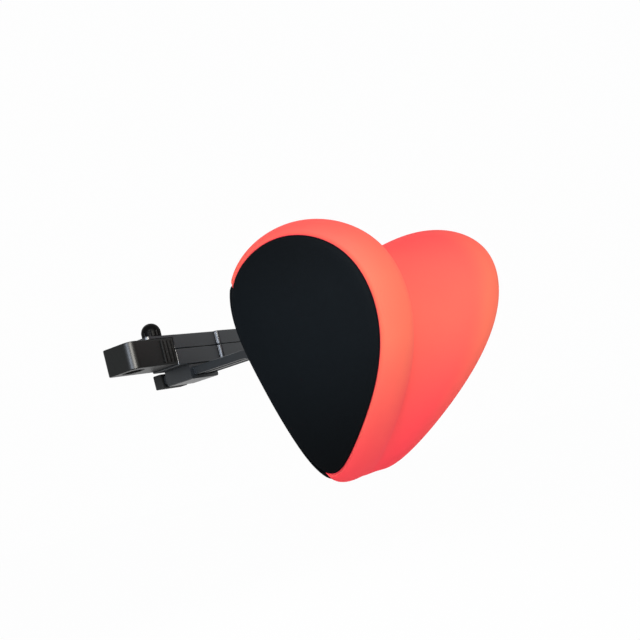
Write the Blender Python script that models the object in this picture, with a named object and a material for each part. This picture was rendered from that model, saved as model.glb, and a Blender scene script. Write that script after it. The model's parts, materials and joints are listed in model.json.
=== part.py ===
# Car neck pillow on a headrest post clamp.
#
# A heart-shaped memory foam pillow hangs on an arm in front of the seat's headrest. The arm
# slides in a plastic clamp that grips the two headrest posts, and a bolt lets the pillow tilt.
#
# Frame: +Z runs up along the headrest posts, -Y is forward, where the neck rests, and the
# origin is midway between the two post axes, level with the clamp's underside. The sitter
# faces -Y, so the sitter's right is -X.

import math

import bmesh
import bpy
import numpy as np
from mathutils import Matrix, Vector

MM = 0.001

# Gap left between pieces that touch on the real object
CLEAR = 0.3 * MM

# Pillow: its overall form
PILLOW_HEIGHT = 187.5 * MM
PILLOW_DEPTH = 117.5 * MM
PILLOW_SETBACK = 132.5 * MM        # post axes to the pillow's flat back
PILLOW_DROP = 129 * MM             # clamp underside down to the pillow's lowest point
CENTRE_DEPTH = 84 * MM             # depth at the neck recess between the lobes
CENTRE_HEIGHT = 170.5 * MM         # height of the saddle between the lobes
RIDGE_SPREAD_TOP = 174 * MM        # lobe ridge to lobe ridge, at the top
RIDGE_SPREAD_BOTTOM = 36 * MM
RIDGE_POWER = 0.70                 # how soon the spread grows with height, below 1 is soon
RIDGE_SHOULDER = 5 * MM            # how far each ridge leans in again at the top
SEAM_SPREAD_TOP = 271 * MM         # side seam to side seam, at the top
SEAM_SPREAD_BOTTOM = 74 * MM
SEAM_POWER = 0.66
SEAM_SHOULDER = 7 * MM
SHOULDER_POWER = 6                 # how near the top the shoulders round over
SEAM_INSET_DEPTH = 0.08            # the side seam's outline is these shares smaller than the lobe's
SEAM_INSET_HEIGHT = 0.12
PANEL_CENTRE = (0.45, 0.555)       # what it shrinks towards: share of the depth and of the height
SIDE_DOME = 10 * MM                # how far each side panel bulges past its seam
CLOTH = 2.0 * MM                   # cover cloth with its bonded lining

# The side outline of one lobe: share of the depth, share of the height
LOBE_OUTLINE = (
    (0.07, 0.02),                  # bottom tip
    (0.53, 0.18),                  # lower front
    (0.97, 0.54),                  # crown, where the neck meets the lobe
    (0.96, 0.84),                  # upper front
    (0.58, 0.99),                  # top
    (0.13, 0.89),                  # upper back
    (-0.02, 0.60),                 # mid back, pressed flat at zero
    (-0.02, 0.21),                 # lower back
)
BACK_SEAM_TOP = 5.4                # the back panel's top seam, counted along the outline's points
BACK_SEAM_BOTTOM = 7.6
OUTLINE_STEPS = 5                  # faces between two of the outline's points
BAND_STEPS = 7                     # faces from the middle to a side seam
PANEL_STEPS = 4                    # faces from a side seam to the panel's middle
PANEL_RINGS = (1, 0.8, 0.6, 0.4, 0.2, 0)

# Clamp: the post collars and the two-shell housing
POST_SPACING = 145 * MM
POST_DIAMETER = 14 * MM
POST_FIT = 0.1 * MM                # liner bore to post, on the radius
LINER_WALL = 1.8 * MM
LINER_SLIT = 2.0 * MM
COLLAR_OUT = 14 * MM               # post axis to the collar's outer end
CLAMP_FRONT = 15 * MM              # post axes to the front face
CLAMP_REAR = 15.5 * MM
FRONT_STEP = 3 * MM                # the left collar stands this far forward of the front face
FRONT_STEP_AT = 28 * MM            # middle of that step
FRONT_STEP_RUN = 10 * MM
FRONT_STEP_ROUND = 12 * MM
HOUSING_END_IN = 40 * MM           # right post axis to the housing's right end, where the jaw enters
HOUSING_HEIGHT = 26.6 * MM
SHELL_SPLIT = 14.2 * MM            # height of the parting line
JAW_BOTTOM = 1.4 * MM
JAW_TOP = 24.0 * MM
CORNER_FRONT = 8 * MM              # the collars' rounding in plan
CORNER_REAR = 3 * MM
CORNER_SMALL = 1.2 * MM            # above the edge rounding, so that the two blend
EDGE_ROUND = 0.8 * MM

# Jaw: the sliding right collar and its lock
JAW_TRAVEL = 16 * MM
TENON_LENGTH = 34 * MM
TENON_WIDTH = 16 * MM
TENON_BOTTOM = 5 * MM
TENON_TOP = 20 * MM
GRIP_RIBS = 4
GRIP_RIB_PITCH = 4.6 * MM
GRIP_RIB_START = 2.4 * MM          # shoulder to the first rib's middle
GRIP_RIB_MARGIN = 2 * MM           # ribs stop this far from the jaw's top and bottom
GRIP_RIB_WIDTH = 1.4 * MM
GRIP_RIB_HEIGHT = 0.8 * MM
STRAP_SHORT = 9.4 * MM             # post axis to the free end of the upper shell's strap
STRAP_INSET = 0.2 * MM             # the strap lies this far inside the shell's faces
STRAP_CORNER = 4 * MM
STUD_IN = 32.5 * MM                # right post axis to the lock stud's axis
STUD_DIAMETER = 5 * MM
STUD_END = 9 * MM                  # height of the stud's lower end
NUT_WIDTH = 8 * MM
NUT_HEIGHT = 4 * MM
NUT_AT = 13 * MM                   # height of the square nut's underside
KNOB_DIAMETER = 16.5 * MM
KNOB_HEIGHT = 12.5 * MM
KNOB_BASE_INSET = 0.8 * MM         # the knob narrows by this much below its widest ring
KNOB_BASE_RISE = 1 * MM
KNOB_DOME_STEPS = 7
KNOB_FLUTES = 10
FLUTE_RADIUS = 1.1 * MM
FLUTE_OUT = 0.6 * MM               # the flute's axis lies this far outside the knob
FLUTE_RISE = 1.5 * MM              # flutes run this far up the dome
STUD_IN_KNOB = 6.9 * MM
WASHER_THICK = 1.0 * MM
WASHER_DIAMETER = 12 * MM

# Arm: slides under the housing and carries the pillow
ARM_WIDTH = 28 * MM
ARM_THICK = 7 * MM
ARM_TOP = -2.7 * MM
ARM_TAIL = 27 * MM                 # post axes to the arm's rear end
ARM_TRAVEL_FORWARD = 5 * MM
ARM_BEND_RUN = 44 * MM             # length of the S-bend that takes the arm down
ARM_BEND_STEPS = 12
GUIDE_WALL = 4.2 * MM
GUIDE_FLOOR = 2.8 * MM
GUIDE_INSET = 1.5 * MM             # the guide stops this far inside the housing's front and rear
GUIDE_CORNER = 2 * MM
GUIDE_ROOT = 1.6 * MM              # how far the guide's walls run up into the shell
POCKET_WIDTH = 8 * MM              # lightening pockets in the arm's underside
POCKET_DEPTH = 2.5 * MM
POCKET_LENGTH = 60 * MM
PAD_SIZE = 12 * MM
PAD_THICK = 2.8 * MM
CAP_WALL = 2.4 * MM

# Pivot: the bolt between the arm and the pillow's bracket
PIVOT_STANDOFF = 17 * MM           # pillow's flat back to the pivot's axis
PIVOT_RISE = 89 * MM               # pillow's lowest point to the pivot's axis
EYE_RADIUS = 8 * MM
EYE_NECK = 6 * MM                  # end of the arm's bend to the pivot's axis
EYE_STEPS = 20
BOLT_DIAMETER = 6 * MM
BOLT_HEAD_DIAMETER = 11 * MM
BOLT_HEAD_HEIGHT = 3.6 * MM
BOLT_PAST_NUT = 1.2 * MM
BOLT_NUT_ACROSS = 10 * MM
BOLT_NUT_HEIGHT = 5 * MM
PIVOT_WASHER_DIAMETER = 14 * MM
EAR_THICK = 5 * MM
EAR_RADIUS = 9 * MM
EAR_BASE = 30 * MM
BRACKET_WIDTH = 60 * MM
BRACKET_HEIGHT = 46 * MM
BRACKET_THICK = 3.5 * MM
BRACKET_CORNER = 7 * MM
BACKING_THICK = 3 * MM
BACKING_MARGIN = 2 * MM            # backing plate beyond the bracket, all round
POCKET_ROOM = 0.6 * MM             # foam pocket beyond the backing plate

# Screws
SCREW_DIAMETER = 4 * MM
SCREW_HEAD_DIAMETER = 7.4 * MM
SCREW_HEAD_HEIGHT = 2.6 * MM
SCREW_SPREAD_X = 48 * MM
SCREW_SPREAD_Z = 34 * MM
SHELL_SCREW_DIAMETER = 3 * MM
SHELL_SCREW_HEAD = 5.6 * MM
SHELL_SCREW_HEAD_HEIGHT = 2.2 * MM
SHELL_SCREW_REACH = 9 * MM         # how far a screw passes the parting line
SHELL_SCREW_MIDDLE = (26 * MM, 11.6 * MM)
SHELL_SCREW_IN = 20.5 * MM         # left post axis to the outer pair of shell screws
SHELL_SCREW_SPREAD = 19 * MM

# Zip in the back panel
ZIP_LENGTH = 120 * MM
ZIP_WIDTH = 6 * MM
ZIP_THICK = 1.4 * MM
ZIP_CORNER = 1 * MM
ZIP_RISE = 57 * MM                 # above the pillow's lowest point
SLIDER_LENGTH = 9 * MM
SLIDER_WIDTH = 8 * MM
SLIDER_THICK = 2.4 * MM
SLIDER_BRIDGE = 1.2 * MM
SLIDER_IN = 2 * MM                 # chain's left end to the slider's
SLIDER_MOUTH_CORNER = 2 * MM
SLIDER_TAIL_CORNER = 1 * MM
PULL_LENGTH = 22 * MM
PULL_WIDTH = 5 * MM
PULL_THICK = 1.2 * MM
PULL_CORNER = 2 * MM

BAIL_LENGTH = 6 * MM
BAIL_WIDTH = 2 * MM
BAIL_WALL = 1.3 * MM
BAIL_ROOM = 1.0 * MM               # free height in the bail above the slider's bridge
PULL_EYE_LENGTH = 4.4 * MM
PULL_EYE_WIDTH = 2.8 * MM

# Facets
ROUND_SIDES = 32
SMALL_SIDES = 16
FLUTE_SIDES = 8
FINE_ARC = 12                      # degrees of a fillet that one facet takes
PLAIN_ARC = 15
COARSE_ARC = 30
ZIP_ARC = 45
CLOTH_CREASE = 60                  # sharper edges than this stay sharp in the shading

# Places that follow from the sizes above
BACK_Y = -PILLOW_SETBACK
HALF_SPACING = POST_SPACING / 2
HOUSING_END = HOUSING_END_IN - HALF_SPACING
STUD_AT = STUD_IN - HALF_SPACING
SHELL_SCREWS = (SHELL_SCREW_MIDDLE, (HALF_SPACING - SHELL_SCREW_IN, SHELL_SCREW_SPREAD / 2),
                (HALF_SPACING - SHELL_SCREW_IN, -SHELL_SCREW_SPREAD / 2))
PIVOT_DROP = PILLOW_DROP - PIVOT_RISE
PIVOT_Y = BACK_Y + PIVOT_STANDOFF
PIVOT_PLACE = (PIVOT_Y, -PIVOT_DROP)
ARM_BEND_END = PIVOT_Y + EYE_NECK
ARM_BEND_START = ARM_BEND_END + ARM_BEND_RUN


def clear_scene():
    for thing in list(bpy.data.objects):
        bpy.data.objects.remove(thing, do_unlink=True)


def make_material(name, colour, roughness, metallic=0.0):
    """A Principled material of one colour, given as linear red, green and blue."""
    material = bpy.data.materials.new(name)
    material.use_nodes = True
    shader = material.node_tree.nodes["Principled BSDF"]
    shader.inputs["Base Color"].default_value = (*colour, 1.0)
    shader.inputs["Roughness"].default_value = roughness
    shader.inputs["Metallic"].default_value = metallic
    return material


def add_object(name, mesh_data, material, smooth_angle=35):
    """Turns a bmesh into a named object, shaded smooth but for its sharp edges."""
    bmesh.ops.recalc_face_normals(mesh_data, faces=mesh_data.faces[:])
    mesh = bpy.data.meshes.new(name)
    mesh_data.to_mesh(mesh)
    mesh_data.free()
    mesh.shade_smooth()
    mesh.set_sharp_from_angle(angle=math.radians(smooth_angle))
    thing = bpy.data.objects.new(name, mesh)
    bpy.context.scene.collection.objects.link(thing)
    if material is None:
        thing.hide_render = True
        thing.display_type = "WIRE"
    else:
        mesh.materials.append(material)
    return thing


def fillet_outline(corners, arc_step=PLAIN_ARC):
    """A closed outline through corners (x, y, radius), each rounded by an arc of that radius."""
    points = []
    count = len(corners)
    for index, (x, y, radius) in enumerate(corners):
        here = Vector((x, y))
        before = Vector(corners[index - 1][:2])
        after = Vector(corners[(index + 1) % count][:2])
        if radius <= 0:
            points.append(here)
            continue
        to_before = (before - here).normalized()
        to_after = (after - here).normalized()
        half = to_before.angle(to_after) / 2
        reach = radius / math.tan(half)
        centre = here + (to_before + to_after).normalized() * (radius / math.sin(half))
        start = here + to_before * reach - centre
        end = here + to_after * reach - centre
        turn = start.angle_signed(end)
        steps = max(1, round(abs(math.degrees(turn)) / arc_step))
        for step in range(steps + 1):
            angle = -turn * step / steps
            arm = Vector((start.x * math.cos(angle) - start.y * math.sin(angle),
                          start.x * math.sin(angle) + start.y * math.cos(angle)))
            points.append(centre + arm)
    return points


AXES = {"X": Matrix(((0, 0, 1), (1, 0, 0), (0, 1, 0))),
        "Y": Matrix(((1, 0, 0), (0, 0, 1), (0, 1, 0))),
        "Z": Matrix(((1, 0, 0), (0, 1, 0), (0, 0, 1)))}


def prism(outline, axis, low, high):
    """A closed outline, extruded along an axis. X takes (y, z), Y takes (x, z), Z takes (x, y)."""
    solid = bmesh.new()
    place = AXES[axis]
    ring = [solid.verts.new(place @ Vector((p[0], p[1], low))) for p in outline]
    face = solid.faces.new(ring)
    grown = bmesh.ops.extrude_face_region(solid, geom=[face])
    moved = [item for item in grown["geom"] if isinstance(item, bmesh.types.BMVert)]
    bmesh.ops.translate(solid, verts=moved, vec=place @ Vector((0, 0, high - low)))
    return solid


def block(low, high):
    """A plain box between two corners."""
    outline = [(low[0], low[1]), (high[0], low[1]), (high[0], high[1]), (low[0], high[1])]
    return prism(outline, "Z", low[2], high[2])


def circle(radius, centre=(0, 0), sides=ROUND_SIDES):
    return [(centre[0] + radius * math.cos(2 * math.pi * k / sides),
             centre[1] + radius * math.sin(2 * math.pi * k / sides)) for k in range(sides)]


def rod(axis, centre, radius, low, high, sides=ROUND_SIDES):
    return prism(circle(radius, centre, sides), axis, low, high)


def turned(profile, axis, centre, sides=ROUND_SIDES):
    """A profile of (radius, height) points, turned about an axis. Its ends lie on the axis."""
    solid = bmesh.new()
    place = AXES[axis]
    rings = []
    for radius, height in profile:
        if radius == 0:
            rings.append([solid.verts.new(place @ Vector((centre[0], centre[1], height)))])
        else:
            ring = circle(radius, centre, sides)
            rings.append([solid.verts.new(place @ Vector((p[0], p[1], height))) for p in ring])
    for lower, upper in zip(rings, rings[1:]):
        for k in range(sides):
            after = (k + 1) % sides
            corners = [lower[k % len(lower)], lower[after % len(lower)],
                       upper[after % len(upper)], upper[k % len(upper)]]
            solid.faces.new(list(dict.fromkeys(corners)))
    return solid


def combine(target, other, operation):
    """Adds an exact Boolean of another object to the target."""
    modifier = target.modifiers.new(operation.lower(), "BOOLEAN")
    modifier.operation = operation
    modifier.solver = "EXACT"
    modifier.object = other


def cut(target, solid, name):
    combine(target, add_object(name + "_cutter", solid, None), "DIFFERENCE")


def join(target, solid, name):
    combine(target, add_object(name + "_form", solid, None), "UNION")


def soften(target, width=EDGE_ROUND, segments=2):
    """Rounds the sharp edges, as a mould does."""
    modifier = target.modifiers.new("soften", "BEVEL")
    modifier.width = width
    modifier.segments = segments
    modifier.limit_method = "ANGLE"
    modifier.angle_limit = math.radians(40)


# The pillow's surface

def spline(knots, values, at, closed=False):
    """Cubic spline through rows of values at the knots, natural at its ends or closed on itself."""
    knots = np.asarray(knots, float)
    values = np.asarray(values, float)
    flat = values.reshape(len(values), -1)
    gaps = np.diff(knots)
    count = len(gaps) if closed else len(knots)
    system = np.zeros((count, count))
    right = np.zeros((count, flat.shape[1]))
    slopes = np.diff(flat, axis=0) / gaps[:, None]
    for k in range(count):
        if not closed and k in (0, count - 1):
            system[k, k] = 1.0
            continue
        before = gaps[k - 1]
        after = gaps[k]
        system[k, k - 1] += before
        system[k, k] += 2 * (before + after)
        system[k, (k + 1) % count] += after
        right[k] = 6 * (slopes[k] - slopes[k - 1])
    bend = np.linalg.solve(system, right)
    if closed:
        bend = np.vstack([bend, bend[:1]])
        at = knots[0] + (np.asarray(at, float) - knots[0]) % (knots[-1] - knots[0])
    at = np.asarray(at, float)
    cell = np.clip(np.searchsorted(knots, at, side="right") - 1, 0, len(gaps) - 1)
    width = gaps[cell][:, None]
    along = (at - knots[cell])[:, None]
    left = width - along
    result = (bend[cell] * left ** 3 + bend[cell + 1] * along ** 3) / (6 * width)
    result += (flat[cell] / width - bend[cell] * width / 6) * left
    result += (flat[cell + 1] / width - bend[cell + 1] * width / 6) * along
    return result.reshape((len(at),) + values.shape[1:])


def lobe_rib(stations):
    """The lobe's side outline at places counted along its points: depth and height in metres."""
    points = np.array(LOBE_OUTLINE + LOBE_OUTLINE[:1]) * (PILLOW_DEPTH, PILLOW_HEIGHT)
    chords = np.sqrt(np.linalg.norm(np.diff(points, axis=0), axis=1))
    knots = np.concatenate([[0], np.cumsum(chords)])
    at = np.interp(np.asarray(stations) % len(LOBE_OUTLINE), range(len(knots)), knots)
    return spline(knots, points, at, closed=True)


def spread(height, bottom, top, power, shoulder):
    """Half of a width that grows from the pillow's bottom and rounds in again at its top."""
    share = np.clip(height / PILLOW_HEIGHT, 0, 1)
    return (bottom + (top - bottom) * share ** power) / 2 - shoulder * share ** SHOULDER_POWER


def ridge_spread(height):
    return spread(height, RIDGE_SPREAD_BOTTOM, RIDGE_SPREAD_TOP, RIDGE_POWER, RIDGE_SHOULDER)


def seam_spread(height):
    return spread(height, SEAM_SPREAD_BOTTOM, SEAM_SPREAD_TOP, SEAM_POWER, SEAM_SHOULDER)


def pillow_ribs(stations):
    """Ribs across the pillow, from the middle of one side panel to the middle of the other."""
    lobe = lobe_rib(stations)
    depth, height = lobe[:, 0], lobe[:, 1]
    ridge = np.stack([ridge_spread(height), depth, height], 1)
    centre = np.stack([0 * depth, depth * CENTRE_DEPTH / PILLOW_DEPTH,
                       height * CENTRE_HEIGHT / PILLOW_HEIGHT], 1)
    middle = np.array(PANEL_CENTRE) * (PILLOW_DEPTH, PILLOW_HEIGHT)
    inset = middle + (lobe - middle) * (1 - SEAM_INSET_DEPTH, 1 - SEAM_INSET_HEIGHT)
    heart = inset.mean(axis=0)
    side = [ridge]
    for share in PANEL_RINGS:
        ring = heart + (inset - heart) * share
        dome = SIDE_DOME * (1 - share ** 2)
        side.append(np.stack([seam_spread(ring[:, 1]) + dome, ring[:, 0], ring[:, 1]], 1))
    mirrored = [rib * (-1, 1, 1) for rib in reversed(side)]
    return np.stack(mirrored + [centre] + side)


def pillow_grid():
    """Points on the pillow's skin, in rows from pole to pole and in columns round the outline."""
    stations = np.arange(len(LOBE_OUTLINE) * OUTLINE_STEPS) / OUTLINE_STEPS
    ribs = pillow_ribs(stations)
    chords = np.linalg.norm(np.diff(ribs, axis=0), axis=2).mean(axis=1)
    knots = np.concatenate([[0], np.cumsum(chords)])
    half = len(ribs) // 2
    middle, seam, pole = knots[half], knots[half + 2], knots[-1]
    band = np.linspace(middle, seam, BAND_STEPS + 1)
    panel = np.linspace(seam, pole, PANEL_STEPS + 1)[1:]
    right_half = np.concatenate([band, panel])
    across = np.concatenate([2 * middle - right_half[:0:-1], right_half])
    grid = spline(knots, ribs, across)
    grid[:, :, 1] = np.maximum(grid[:, :, 1], 0)
    return np.stack([grid[:, :, 0], BACK_Y - grid[:, :, 1], grid[:, :, 2] - PILLOW_DROP], axis=2)


def skin_normals(grid):
    """Unit normals of the grid, pointing out of the pillow."""
    along = np.roll(grid, -1, axis=1) - np.roll(grid, 1, axis=1)
    across = np.gradient(grid, axis=0)
    normal = np.cross(along, across)
    normal[0] = (-1, 0, 0)
    normal[-1] = (1, 0, 0)
    normal /= np.linalg.norm(normal, axis=2, keepdims=True)
    middle = len(grid) // 2
    top = int(np.argmax(grid[middle, :, 2]))
    if normal[middle, top, 2] < 0:
        normal[1:-1] *= -1
    return normal


def trim(patch, gap=CLEAR / 2):
    """Draws a patch's borders in, so that neighbours stay a gap apart."""
    patch = patch.copy()
    for edge, inner in ((0, 1), (-1, -2)):
        step = patch[edge] - patch[inner]
        length = np.linalg.norm(step, axis=1, keepdims=True)
        patch[edge] = patch[inner] + step * (1 - gap / length)
    return patch


def grid_faces(solid, rows, closed, rows_reversed=False):
    """Triangles between rows of vertices, or round a row that is a single vertex.

    Each four-sided cell is split along the same diagonal of the pillow's grid, so that the
    cover's inner face and the foam run parallel.
    """
    for lower, upper in zip(rows, rows[1:]):
        count = max(len(lower), len(upper))
        for k in range(count if closed else count - 1):
            after = (k + 1) % count
            a, b = lower[k % len(lower)], lower[after % len(lower)]
            c, d = upper[after % len(upper)], upper[k % len(upper)]
            halves = ((a, b, d), (b, c, d)) if rows_reversed else ((a, b, c), (a, c, d))
            for half in halves:
                if len(set(half)) == 3:
                    solid.faces.new(half)


def vert_rows(solid, points):
    return [[solid.verts.new(point) for point in row] for row in points]


def cloth_strip(outer, inner):
    """A strip of cloth with an outer and an inner face and four edges."""
    solid = bmesh.new()
    top = vert_rows(solid, outer)
    under = vert_rows(solid, inner)
    grid_faces(solid, top, False)
    grid_faces(solid, under, False)
    for a, b in ((top[0], under[0]), (top[-1], under[-1])):
        grid_faces(solid, [a, b], False)
    for end in (0, -1):
        grid_faces(solid, [[row[end] for row in top], [row[end] for row in under]], False)
    return solid


def cloth_dish(outer, inner, rows_reversed):
    """A round panel: rings from its border in to a single middle point, inside and out."""
    solid = bmesh.new()
    rows = []
    for rings in (outer, inner):
        part = vert_rows(solid, rings[:-1])
        part.append([solid.verts.new(rings[-1].mean(axis=0))])
        rows.append(part)
        grid_faces(solid, part, True, rows_reversed)
    grid_faces(solid, [rows[0][0], rows[1][0]], True)
    return solid


def make_pillow(mats):
    grid = pillow_grid()
    normal = skin_normals(grid)
    inside = grid - normal * CLOTH
    foam_face = grid - normal * (CLOTH + CLEAR)
    low, high = PANEL_STEPS, len(grid) - 1 - PANEL_STEPS
    seam_top = round(BACK_SEAM_TOP * OUTLINE_STEPS)
    seam_bottom = round(BACK_SEAM_BOTTOM * OUTLINE_STEPS) - grid.shape[1]

    def strip(points, first, last):
        columns = np.arange(first, last + 1) % grid.shape[1]
        patch = points[low:high + 1][:, columns]
        patch = trim(patch)
        return trim(patch.swapaxes(0, 1)).swapaxes(0, 1)

    front = cloth_strip(strip(grid, seam_bottom, seam_top), strip(inside, seam_bottom, seam_top))
    add_object("front_cover", front, mats["coral"], CLOTH_CREASE)
    end = seam_bottom + grid.shape[1]
    back = cloth_strip(strip(grid, seam_top, end), strip(inside, seam_top, end))
    back_panel = add_object("back_panel", back, mats["black_cloth"], CLOTH_CREASE)

    for name, rows in (("side_panel_right", slice(low, None, -1)), ("side_panel_left", slice(high, None))):
        rings = [points[rows].copy() for points in (grid, inside)]
        for ring in rings:
            step = ring[0] - ring[1]
            length = np.linalg.norm(step, axis=1, keepdims=True)
            ring[0] = ring[1] + step * (1 - CLEAR / 2 / length)
        add_object(name, cloth_dish(*rings, name == "side_panel_right"), mats["black_cloth"], CLOTH_CREASE)

    core = bmesh.new()
    rows = [[core.verts.new(foam_face[0].mean(axis=0))]]
    rows += vert_rows(core, foam_face[1:-1])
    rows.append([core.verts.new(foam_face[-1].mean(axis=0))])
    grid_faces(core, rows, True)
    foam = add_object("foam_core", core, mats["foam"], CLOTH_CREASE)
    return foam, back_panel


def plate_outline(width, height, corner, centre_z):
    right, top, bottom = width / 2, centre_z + height / 2, centre_z - height / 2
    return fillet_outline([(-right, bottom, corner), (right, bottom, corner),
                           (right, top, corner), (-right, top, corner)], COARSE_ARC)


def screw_places():
    return [(sx * SCREW_SPREAD_X / 2, -PIVOT_DROP + sz * SCREW_SPREAD_Z / 2)
            for sz in (1, -1) for sx in (-1, 1)]


def make_bracket(mats, foam, back_panel):
    """The plate with two ears outside the cover, its backing plate in the foam, and their screws."""
    face = BACK_Y + CLEAR
    plate_rear = face + BRACKET_THICK
    outline = plate_outline(BRACKET_WIDTH, BRACKET_HEIGHT, BRACKET_CORNER, -PIVOT_DROP)
    bracket = add_object("pivot_bracket", prism(outline, "Y", face, plate_rear), mats["black_plastic"])
    soften(bracket)
    ear_in = ARM_WIDTH / 2 + WASHER_THICK + 2 * CLEAR
    ear = fillet_outline([(face + BRACKET_THICK / 2, -PIVOT_DROP - EAR_BASE / 2, 0),
                          (PIVOT_Y + EAR_RADIUS, -PIVOT_DROP - EAR_RADIUS, EAR_RADIUS * 0.98),
                          (PIVOT_Y + EAR_RADIUS, -PIVOT_DROP + EAR_RADIUS, EAR_RADIUS * 0.98),
                          (face + BRACKET_THICK / 2, -PIVOT_DROP + EAR_BASE / 2, 0)])
    for side, name in ((-1, "right_ear"), (1, "left_ear")):
        ends = sorted((side * ear_in, side * (ear_in + EAR_THICK)))
        join(bracket, prism(ear, "X", *ends), name)
    bolt_hole = BOLT_DIAMETER / 2 + CLEAR
    cut(bracket, rod("X", PIVOT_PLACE, bolt_hole, -ear_in * 3, ear_in * 3, SMALL_SIDES),
        "bolt_hole")

    backing_rear = BACK_Y - CLOTH - CLEAR
    backing_front = backing_rear - BACKING_THICK
    backing = plate_outline(BRACKET_WIDTH + 2 * BACKING_MARGIN, BRACKET_HEIGHT + 2 * BACKING_MARGIN,
                            BRACKET_CORNER, -PIVOT_DROP)
    plate = add_object("backing_plate", prism(backing, "Y", backing_front, backing_rear),
                       mats["grey_plastic"])
    room = BACKING_MARGIN + POCKET_ROOM
    pocket = plate_outline(BRACKET_WIDTH + 2 * room, BRACKET_HEIGHT + 2 * room,
                           BRACKET_CORNER, -PIVOT_DROP)
    cut(foam, prism(pocket, "Y", backing_front - CLEAR, BACK_Y + CLOTH), "backing_pocket")

    hole = SCREW_DIAMETER / 2 + CLEAR
    head_seat = plate_rear + CLEAR
    for number, place in enumerate(screw_places(), start=1):
        for target in (bracket, back_panel, plate):
            cut(target, rod("Y", place, hole, backing_front - CLEAR, head_seat, SMALL_SIDES),
                f"{target.name}_hole_{number}")
        radius = SCREW_HEAD_DIAMETER / 2
        top = head_seat + SCREW_HEAD_HEIGHT
        profile = [(0, backing_front + CLEAR), (SCREW_DIAMETER / 2, backing_front + CLEAR),
                   (SCREW_DIAMETER / 2, head_seat), (radius, head_seat),
                   (radius, head_seat + SCREW_HEAD_HEIGHT * 0.4), (radius * 0.75, top), (0, top)]
        add_object(f"bracket_screw_{number}", turned(profile, "Y", place, SMALL_SIDES), mats["steel"])


def make_pivot(mats):
    """The bolt, its nut and the two friction washers between the arm's eye and the ears."""
    centre = PIVOT_PLACE
    inner = ARM_WIDTH / 2 + CLEAR
    outer = inner + WASHER_THICK + CLEAR + EAR_THICK + CLEAR
    hole = BOLT_DIAMETER / 2 + CLEAR
    for side, name in ((-1, "pivot_washer_right"), (1, "pivot_washer_left")):
        low, high = sorted((side * inner, side * (inner + WASHER_THICK)))
        washer = add_object(name, rod("X", centre, PIVOT_WASHER_DIAMETER / 2, low, high),
                            mats["nylon"])
        cut(washer, rod("X", centre, hole, low - CLEAR, high + CLEAR, SMALL_SIDES), name + "_hole")
    radius = BOLT_HEAD_DIAMETER / 2
    tip = outer + BOLT_NUT_HEIGHT + BOLT_PAST_NUT
    profile = [(0, -outer - BOLT_HEAD_HEIGHT), (radius * 0.7, -outer - BOLT_HEAD_HEIGHT),
               (radius, -outer - BOLT_HEAD_HEIGHT * 0.6), (radius, -outer),
               (BOLT_DIAMETER / 2, -outer), (BOLT_DIAMETER / 2, tip), (0, tip)]
    add_object("pivot_bolt", turned(profile, "X", centre, SMALL_SIDES * 2), mats["steel"])
    across = BOLT_NUT_ACROSS / 2 / math.cos(math.pi / 6)
    nut = add_object("pivot_nut", rod("X", centre, across, outer, outer + BOLT_NUT_HEIGHT, 6),
                     mats["steel"])
    cut(nut, rod("X", centre, hole, outer - CLEAR, outer + BOLT_NUT_HEIGHT + CLEAR, SMALL_SIDES),
        "pivot_nut_hole")


def arm_outline():
    """The arm seen from the side: straight, an S-bend down, and an eye round the pivot."""
    middle = ARM_TOP - ARM_THICK / 2
    line = [Vector((ARM_TAIL, middle))]
    for step in range(ARM_BEND_STEPS + 1):
        share = step / ARM_BEND_STEPS
        y = ARM_BEND_START - ARM_BEND_RUN * share
        z = middle + (-PIVOT_DROP - middle) * (1 - math.cos(math.pi * share)) / 2
        line.append(Vector((y, z)))
    upper, lower = [], []
    for index, point in enumerate(line):
        before = line[max(index - 1, 0)]
        after = line[min(index + 1, len(line) - 1)]
        direction = (after - before).normalized()
        side = Vector((-direction.y, direction.x)) * ARM_THICK / 2
        upper.append(point - side)
        lower.append(point + side)
    centre = Vector(PIVOT_PLACE)
    neck_angle = math.asin(ARM_THICK / 2 / EYE_RADIUS)
    eye = []
    for step in range(EYE_STEPS + 1):
        angle = neck_angle + (2 * math.pi - 2 * neck_angle) * step / EYE_STEPS
        eye.append(centre + EYE_RADIUS * Vector((math.cos(angle), math.sin(angle))))
    return upper[:-1] + eye + lower[-2::-1]


def make_arm(mats):
    arm = add_object("support_arm", prism(arm_outline(), "X", -ARM_WIDTH / 2, ARM_WIDTH / 2),
                     mats["black_plastic"])
    soften(arm, EDGE_ROUND / 2, 1)
    hole = BOLT_DIAMETER / 2 + CLEAR
    cut(arm, rod("X", PIVOT_PLACE, hole, -ARM_WIDTH, ARM_WIDTH, SMALL_SIDES),
        "arm_eye")
    bottom = ARM_TOP - ARM_THICK
    start = ARM_BEND_START + POCKET_DEPTH
    for side, name in ((-1, "right_pocket"), (1, "left_pocket")):
        middle = side * ARM_WIDTH / 4
        low = (middle - POCKET_WIDTH / 2, start, bottom - CLEAR)
        high = (middle + POCKET_WIDTH / 2, start + POCKET_LENGTH, bottom + POCKET_DEPTH)
        cut(arm, block(low, high), name)

    front = CLAMP_REAR + ARM_TRAVEL_FORWARD + CLEAR
    side = ARM_WIDTH / 2 + CLEAR
    low = (-side - CAP_WALL, front, bottom - CLEAR - CAP_WALL)
    high = (side + CAP_WALL, ARM_TAIL + CLEAR + CAP_WALL, ARM_TOP + CLEAR + CAP_WALL)
    cap = add_object("arm_end_cap", block(low, high), mats["rubber"])
    soften(cap)
    cut(cap, block((-side, front - CLEAR, bottom - CLEAR), (side, ARM_TAIL + CLEAR, ARM_TOP + CLEAR)),
        "arm_tail")


def collar_bore(x):
    radius = POST_DIAMETER / 2 + POST_FIT + LINER_WALL + CLEAR
    return rod("Z", (x, 0), radius, -HOUSING_HEIGHT, 2 * HOUSING_HEIGHT)


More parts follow.
